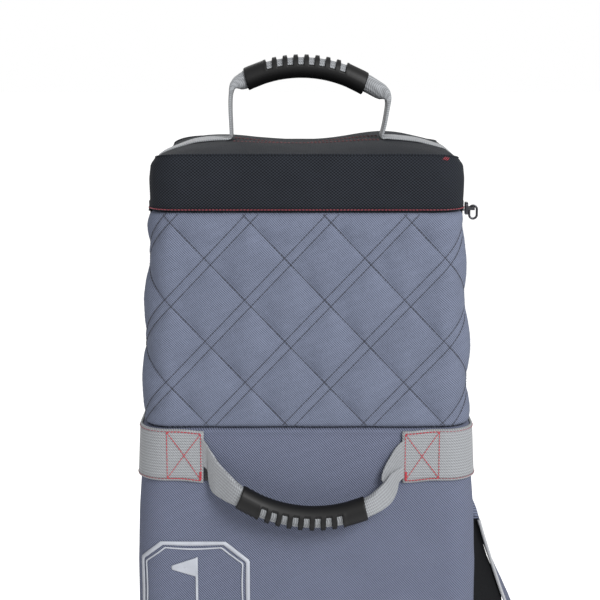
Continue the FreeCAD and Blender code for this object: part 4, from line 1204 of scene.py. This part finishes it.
def make_front_handle():
    node_low, node_high = box_mm("front_handle_grip")
    arc_centre = (0.0, (node_low[1] + node_high[1]) / 2, node_low[2] + GRIP_R + GRIP_ARC_R)
    end_z = arc_centre[2] - GRIP_ARC_R * math.cos(GRIP_HALF_ANGLE)
    tilt = Tilt((0, 0, end_z), 5.35, (-3.5, 0, -2.0))
    grip_sleeve("front_grip_sleeve", arc_centre, -1, tilt, "front_handle", "front_handle_grip", -0.5)
    core = core_stations(arc_centre, -1, tilt)
    made = strap("front_grip_core", core, "webbing", "front_handle", "webbing", 4)
    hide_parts("front_handle_strap")
    # (x, y, z, lean in degrees, width, thickness, squareness), from under the belt's end to the grip.
    legs = {
        "left": [(-103, -144, 932, -3, 30, 1.8, 9), (-98, -145.5, 926, -3, 28, 2.2, 9),
                 (-96, -147, 918, 0, 35, 2.2, 8), (-93, -149, 912, 2, 37, 2.6, 8),
                 (-88, -152.5, 906, 7, 32, 3.2, 7), (-81, -156.5, 901, 10, 28, 4.4, 6),
                 (-74, -160.5, 896.5, 13, 24, 7, 4.4), (-66, -163.5, 892, 18, 20, 11.5, 3.2),
                 (-58, -164, 887.5, 21, 18.6, 18.4, 2)],
        "right": [(97, -144, 911.5, 2, 12, 1.8, 9), (90.5, -147.5, 907.5, 8, 13, 2.6, 8),
                  (86, -151, 901, 16, 20, 3.4, 7), (80, -155, 893, 19, 21.5, 4.6, 6),
                  (72.5, -159.5, 887.5, 16, 21, 6.8, 4.6), (64.5, -163, 883, 12, 19, 12, 3.2),
                  (55, -164, 878.5, 17, 18.4, 18.4, 2)],
        "fold": [(98, -144, 930, 0, 30, 1.8, 9), (90.5, -145.5, 924, 6, 26, 2.2, 9),
                 (85, -147.5, 916, 14, 22, 2.2, 9), (79.5, -149.5, 907, 24, 17, 2.2, 8),
                 (76.5, -151, 900.5, 36, 10, 2.2, 8)],
    }
    for word, side in (("left", -1), ("right", 1), ("fold", 1)):
        stations = []
        for x, y, z, lean, *size in legs[word]:
            lean = math.radians(lean)
            stations.append(((x, y, z), (-side * math.sin(lean), 0.0, math.cos(lean)), *size))
        leg = strap("front_leg_" + word, stations, "webbing", None, "webbing", 7, sheared=True)
        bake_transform(leg)


make_top_handle()
make_front_handle()


# ---- side pocket --------------------------------------------------------------------------------
POCKET_Y = 85.0
POCKET_TOP_Z, FLAP_TOP_Z = 840.0, 866.0
POCKET_LINE = [
    (177, POCKET_TOP_Z), (183, 820), (189, 801), (196, 780), (204, 757), (213, 735), (222, 714), (229, 694),
    (232, 670), (232, 630), (232, 570), (232, 510), (231, 475), (222, 447),
]


def pocket_outline(outside):
    """(x, z) along the pocket's outer edge, moved outside by some millimetres."""
    line = through(POCKET_LINE, 6)
    along = unit(np.gradient(line, axis=0))
    return line + columns_of(-along[:, 1], along[:, 0]) * outside


def make_pocket_face():
    outer, inner = pocket_outline(0.9 + 2.5), pocket_outline(0.9)
    count = 44
    y = np.linspace(-POCKET_Y, POCKET_Y, count)
    rows = len(outer)
    points, uv = [], []
    length = run(outer)
    share = length / length[-1]
    for line, thick in ((outer, 1.0), (inner, 0.4)):
        along = unit(np.gradient(line, axis=0))
        normal = columns_of(-along[:, 1], along[:, 0])
        for column in y:
            full = smoothstep(share, 0.05, 0.5) * np.sin(np.pi * np.clip(share, 0, 1)) ** 0.4
            bulge = 4.6 * (1 - (abs(column) / POCKET_Y) ** 3.5) * full * thick
            spot = columns_of(line[:, 0], column, line[:, 1])
            wrinkle = wobble(spot * [1, 1, 0.5], 38, 31) * 1.0 + wobble(spot, 15, 32) * 0.35
            edge = np.clip((POCKET_Y - abs(column)) / 12, 0, 1)
            moved = line + normal * (bulge + wrinkle * edge * thick)[:, None]
            points.append(columns_of(moved[:, 0], column, moved[:, 1]))
            uv.append(columns_of(column, length))
    points, uv = np.array(points), np.array(uv)
    columns = np.concatenate([points[:count], points[count:][::-1]])
    uv = np.concatenate([uv[:count], uv[count:][::-1]])
    faces = grid_faces(2 * count, rows, True, False).tolist()
    for end in (0, rows - 1):
        for c in range(count - 1):
            across = (c, c + 1, 2 * count - 2 - c, 2 * count - 1 - c)
            faces.append([column * rows + end for column in across])
    made = closed_object("pocket_panel", columns.reshape(-1, 3), faces, "body", "pocket_door", "body_fabric",
                         uv.reshape(-1, 2))
    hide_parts("pocket_face")


def sheet_between(name, first, second, normal, sag):
    """Closed thin cloth of the gusset between two lines of points, pushed sag along normal in its middle."""
    cells, thickness = 10, 2.3
    share = np.linspace(0, 1, cells)[None, :, None]
    front = first[:, None] * (1 - share) + second[:, None] * share
    normal = np.array(normal, float)
    wrinkle = (wobble(front.reshape(-1, 3), 24, 33) * 0.8).reshape(front.shape[:2])
    hold = np.sin(np.pi * share[..., 0]) ** 0.7
    front = front + normal * ((sag + wrinkle) * hold)[..., None]
    back = front - normal * thickness
    loop = np.concatenate([front, back[:, ::-1]], 1)
    faces = tube_faces(len(first), 2 * cells)
    uv = loop[..., [0, 2]] + loop[..., [1, 1]] * [0.0, 1.0]
    return closed_object(name, loop.reshape(-1, 3), faces, "gusset", "bag", "cap_fabric", uv.reshape(-1, 2))


def side_line(z):
    """Points just outside the bag's side at heights z."""
    return np.asarray(BODY.at(z)[0]) + 0.2


def make_pocket_walls():
    line = resample(np.insert(pocket_outline(-0.4), 1, 0.0, axis=1), 9.0)
    heights = np.interp(np.linspace(0, 1, len(line)), [0, 1], [POCKET_TOP_Z, 428])
    heights = np.clip(np.where(line[:, 2] > 470, line[:, 2], heights), 428, POCKET_TOP_Z)
    heights[-1] = 428
    heights = np.minimum.accumulate(heights)
    inner = columns_of(side_line(heights), 0.0, heights)
    for word, side in (("front", -1), ("back", 1)):
        offset = np.array([0, side * POCKET_Y, 0])
        sheet_between("pocket_wall_" + word, line + offset, inner + offset, (0, side, 0), -2.0)
    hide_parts("pocket_gusset")
    y = np.linspace(-POCKET_Y + 1, POCKET_Y - 1, 24)
    end, root = line[-1], inner[-1]
    first, second = columns_of(end[0], y, end[2]), columns_of(root[0], y, root[2])
    slope = unit(np.array([end[2] - root[2], 0, root[0] - end[0]]))
    sheet_between("pocket_floor", first, second, slope * np.sign(-slope[2]), 1.0)
    heights = np.linspace(FLAP_TOP_Z, POCKET_TOP_Z + 0.8, 12)
    swell = np.sin(np.pi * np.linspace(0, 1, 12)) * 0.8
    outer_x = np.linspace(side_line(FLAP_TOP_Z) + 1.2, POCKET_LINE[0][0] + 2.6, 12) + swell
    y = np.linspace(-POCKET_Y, POCKET_Y, 40)
    grid = np.zeros((40, 24, 3))
    grid[:, :12] = columns_of(outer_x[None], y[:, None], heights[None])
    back = columns_of((side_line(heights) - 0.5)[None], y[:, None], heights[None])
    grid[:, 12:] = back[:, ::-1]
    grid[:, :12, 0] += (wobble(grid[:, :12].reshape(-1, 3), 30, 34) * 0.8).reshape(40, 12)
    flap = closed_object("pocket_flap", grid.reshape(-1, 3), tube_faces(40, 24), "body", "bag", "body_fabric",
                         grid[..., 1:].reshape(-1, 2))
    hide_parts("pocket_top_flap")


def make_pocket_trim():
    line = pocket_outline(2.3)
    path = columns_of(line[:, 0], -POCKET_Y - 2.0, line[:, 1])
    mesh, faces, uv = tube_along(resample(path, 4.0), 1.75, 10)
    made = closed_object("pocket_piping_cord", mesh, faces, "piping", "pocket_door", "piping", uv)
    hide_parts("pocket_piping")
    for node, body, name in (("pocket_teeth_gusset", "bag", "pocket_teeth_row_inner"),
                             ("pocket_teeth_face", "pocket_door", "pocket_teeth_row_outer")):
        low, high = box_mm(node)
        at = np.arange(low[2] + 1.2, high[2], TOOTH_PITCH) + (1.2 if body == "bag" else 0.0)
        x0, x1 = (low[0] - 0.6, high[0]) if body == "bag" else (low[0] + 2.0, low[0] + 0.1)
        flat, faces, uv = teeth_flat(at, x0, x1, -0.2, 1.3, 1.5)
        points = columns_of(flat[:, 1], -POCKET_Y - 0.5 - flat[:, 2], flat[:, 0])
        made = closed_object(name, points, faces, "zip_black", body, "zip_black", uv)
        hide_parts(node)


make_pocket_face()
make_pocket_walls()
make_pocket_trim()


# ---- badge and the quilt's back seam ------------------------------------------------------------
def plate(name, outline, middle, height, lift):
    """Thin raised print: a closed (s, z) outline filled with rings, its rim rounded."""
    outline = resample(np.array([list(point) + [0.0] for point in outline + outline[:1]]), 2.0)[:-1, :2]
    middle = np.array(middle, float)
    rings = [(1, 0), (1, 0.6), (0.985, 1), (0.8, 1), (0.6, 1), (0.4, 1), (0.2, 1), (0.02, 1)]
    flat = []
    for scale, level in rings:
        spot = middle + (outline - middle) * scale
        flat.append(columns_of(*spot.T, 0.25 + height * level))
    flat = np.array(flat).reshape(-1, 3)
    flat[:, 2] += lift(BODY.wrap(flat), flat)
    faces = grid_faces(len(rings), len(outline), False, True).tolist()
    faces += [list(range((len(rings) - 1) * len(outline), len(rings) * len(outline)))[::-1]]
    make_object(name, BODY.wrap(flat), faces, "print", "bag", "print", flat[:, :2])


def moved_in(outline, middle, width):
    """A flat outline moved in by width towards middle."""
    return outline - unit(outline - middle) * width


def make_badge():
    low, high = box_mm("badge_print")
    middle = np.array([-113.0, (low[2] + high[2]) / 2])
    half_w, half_h = 56.5, (high[2] - low[2]) / 2 - 0.5
    corner = 0.42
    shape = [(-1, corner - 1), (corner - 1, -1), (1 - corner, -1), (1, corner - 1),
             (1, 1 - corner), (1 - corner, 1), (corner - 1, 1), (-1, 1 - corner)]
    outer = [middle + np.array([x * half_w, z * half_h]) for x, z in shape]
    dense = resample(np.array([list(p) + [0.0] for p in outer + outer[:1]]), 2.5)[:-1, :2]
    lift = over_folds(1.0)
    pieces = []
    for inset, width in ((0.0, 4.2), (7.0, 1.6)):
        first, second = moved_in(dense, middle, inset), moved_in(dense, middle, inset + width)
        rings = [(first, 0.0), (first, 0.7), (second, 0.7), (second, 0.0)]
        flat = np.concatenate([columns_of(*ring.T, 0.25 + level) for ring, level in rings])
        pieces.append((flat, grid_faces(4, len(dense), False, True).tolist(), flat[:, :2]))
    mesh, faces, uv = merged(pieces)
    mesh[:, 2] += lift(BODY.wrap(mesh), mesh)
    made = make_object("badge_frame", BODY.wrap(mesh), faces, "print", "bag", "print", uv)
    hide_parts("badge_print")
    # A flag on its stick over a low green.
    stick = [(2, -26), (4.4, -26), (4.4, 30), (2, 30)]
    flag = [(4.4, 30), (-22, 21), (-22, 17), (4.4, 9)]
    turns = np.linspace(0, 2 * np.pi, 24, endpoint=False)
    green = [(math.cos(turn) * 30, -27 + math.sin(turn) * 5.5) for turn in turns]
    for name, outline in (("badge_stick", stick), ("badge_flag", flag), ("badge_green", green)):
        outline = [tuple(middle + np.array(point)) for point in outline]
        plate(name, outline, np.mean(outline, 0), 0.75, lift)


def make_back_seam():
    z = np.linspace(QUILT_LOW[2] + 0.5, QUILT_HIGH[2] - 8.6, 40)
    loop = [(-7.5, 0.4), (-6.9, 2.0), (-3, 2.7), (3, 2.7), (6.9, 2.0), (7.5, 0.4), (4, -1.0), (-4, -1.0)]
    points = np.array([[(x, QUILT.at(h)[1] + n, h) for x, n in loop] for h in z])
    points[..., 1] += (wobble(points.reshape(-1, 3), 14, 41) * 0.3).reshape(points.shape[:2])
    closed_object("quilt_back_binding", points.reshape(-1, 3), tube_faces(40, 8), "quilt", "bag",
                  "quilt_fabric", points[..., [0, 2]].reshape(-1, 2))
    pieces = []
    for x in (-5.2, 5.2):
        dots = resample(columns_of(x, QUILT.at(z)[1] + 2.7, z), 4.2)
        for a, b in zip(dots, dots[1:]):
            middle = (a + b) / 2 + [0, 0.25, 0]
            pieces.append(tube_along([a + (b - a) * 0.1, middle, a + (b - a) * 0.85], 0.42, 5))
    mesh, faces, uv = merged(pieces)
    closed_object("quilt_back_stitching", mesh, faces, "navy_thread", "bag", "quilt_fabric", uv)


make_badge()
make_back_seam()


# ---- hard parts keep their CAD shape ------------------------------------------------------------
HARD = {
    "moulding": ["base_tray", "wear_plate", "wheel_spacers", "wheel_housing_left", "wheel_housing_right",
                 "skid_rail_left", "skid_rail_right"],
    "board": ["base_board", "back_stiffener"],
    "steel": ["base_screws", "tray_rivets", "rail_rivets", "housing_screws", "axle_clips", "axle_left",
              "axle_right", "wheel_bearings_left", "wheel_bearings_right"],
    "tyre": ["wheel_tyre_left", "wheel_tyre_right"],
    "hub": ["wheel_hub_left", "wheel_hub_right"],
    "zip_metal": ["zip_slider", "zip_ring", "pocket_slider", "pocket_ring"],
}
for look, nodes in HARD.items():
    for node in nodes:
        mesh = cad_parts[node].data
        mesh.materials.clear()
        mesh.materials.append(LOOK[look])


# ---- studio -------------------------------------------------------------------------------------
CAMERA_PLACE = (-0.00624, -1.5, 1.339)
CAMERA_PITCH, CAMERA_LENS = 79.32, 85.71


def make_stage():
    size = 30.0
    mesh = bpy.data.meshes.new("floor")
    corners = [(-size, -size, 0), (size, -size, 0), (size, size, 0), (-size, size, 0)]
    mesh.from_pydata(corners, [], [(0, 1, 2, 3)])
    floor = bpy.data.objects.new("floor", mesh)
    bpy.context.scene.collection.objects.link(floor)
    paper = Material("paper", 0.9)
    paper.colour(paper.blend(paper.noise(900.0, 2.0), linear(250, 250, 250), linear(254, 254, 254)))
    paper.shader.inputs["Emission Color"].default_value = (1, 1, 1, 1)
    paper.shader.inputs["Emission Strength"].default_value = 0.12
    mesh.materials.append(paper.material)


def light(name, place, target, size, power):
    data = bpy.data.lights.new(name, "AREA")
    data.size, data.energy = size, power
    made = bpy.data.objects.new(name, data)
    made.location = place
    made.rotation_euler = (Vector(target) - Vector(place)).to_track_quat("-Z", "Y").to_euler()
    bpy.context.scene.collection.objects.link(made)


def make_lights():
    world = bpy.data.worlds.new("studio")
    world.use_nodes = True
    background = world.node_tree.nodes["Background"]
    background.inputs[0].default_value = (1, 1, 1, 1)
    background.inputs[1].default_value = 1.0
    bpy.context.scene.world = world
    light("key", (1.2, -1.9, 2.3), (0, 0, 1.05), 1.0, 94)
    light("fill", (-2.2, -1.6, 1.6), (0, 0, 1.0), 1.8, 3)
    light("back", (-0.6, 2.2, 2.4), (0, 0, 0.9), 1.6, 20)
    view = bpy.context.scene.view_settings
    view.view_transform, view.look, view.exposure = "Standard", "None", 0.0


def make_camera():
    scene = bpy.context.scene
    camera = bpy.data.cameras.new("camera")
    camera.lens, camera.sensor_width = CAMERA_LENS, 36
    made = bpy.data.objects.new("camera", camera)
    made.location = CAMERA_PLACE
    made.rotation_euler = (math.radians(CAMERA_PITCH), 0, 0)
    scene.collection.objects.link(made)
    scene.camera = made


make_stage()
make_lights()
make_camera()
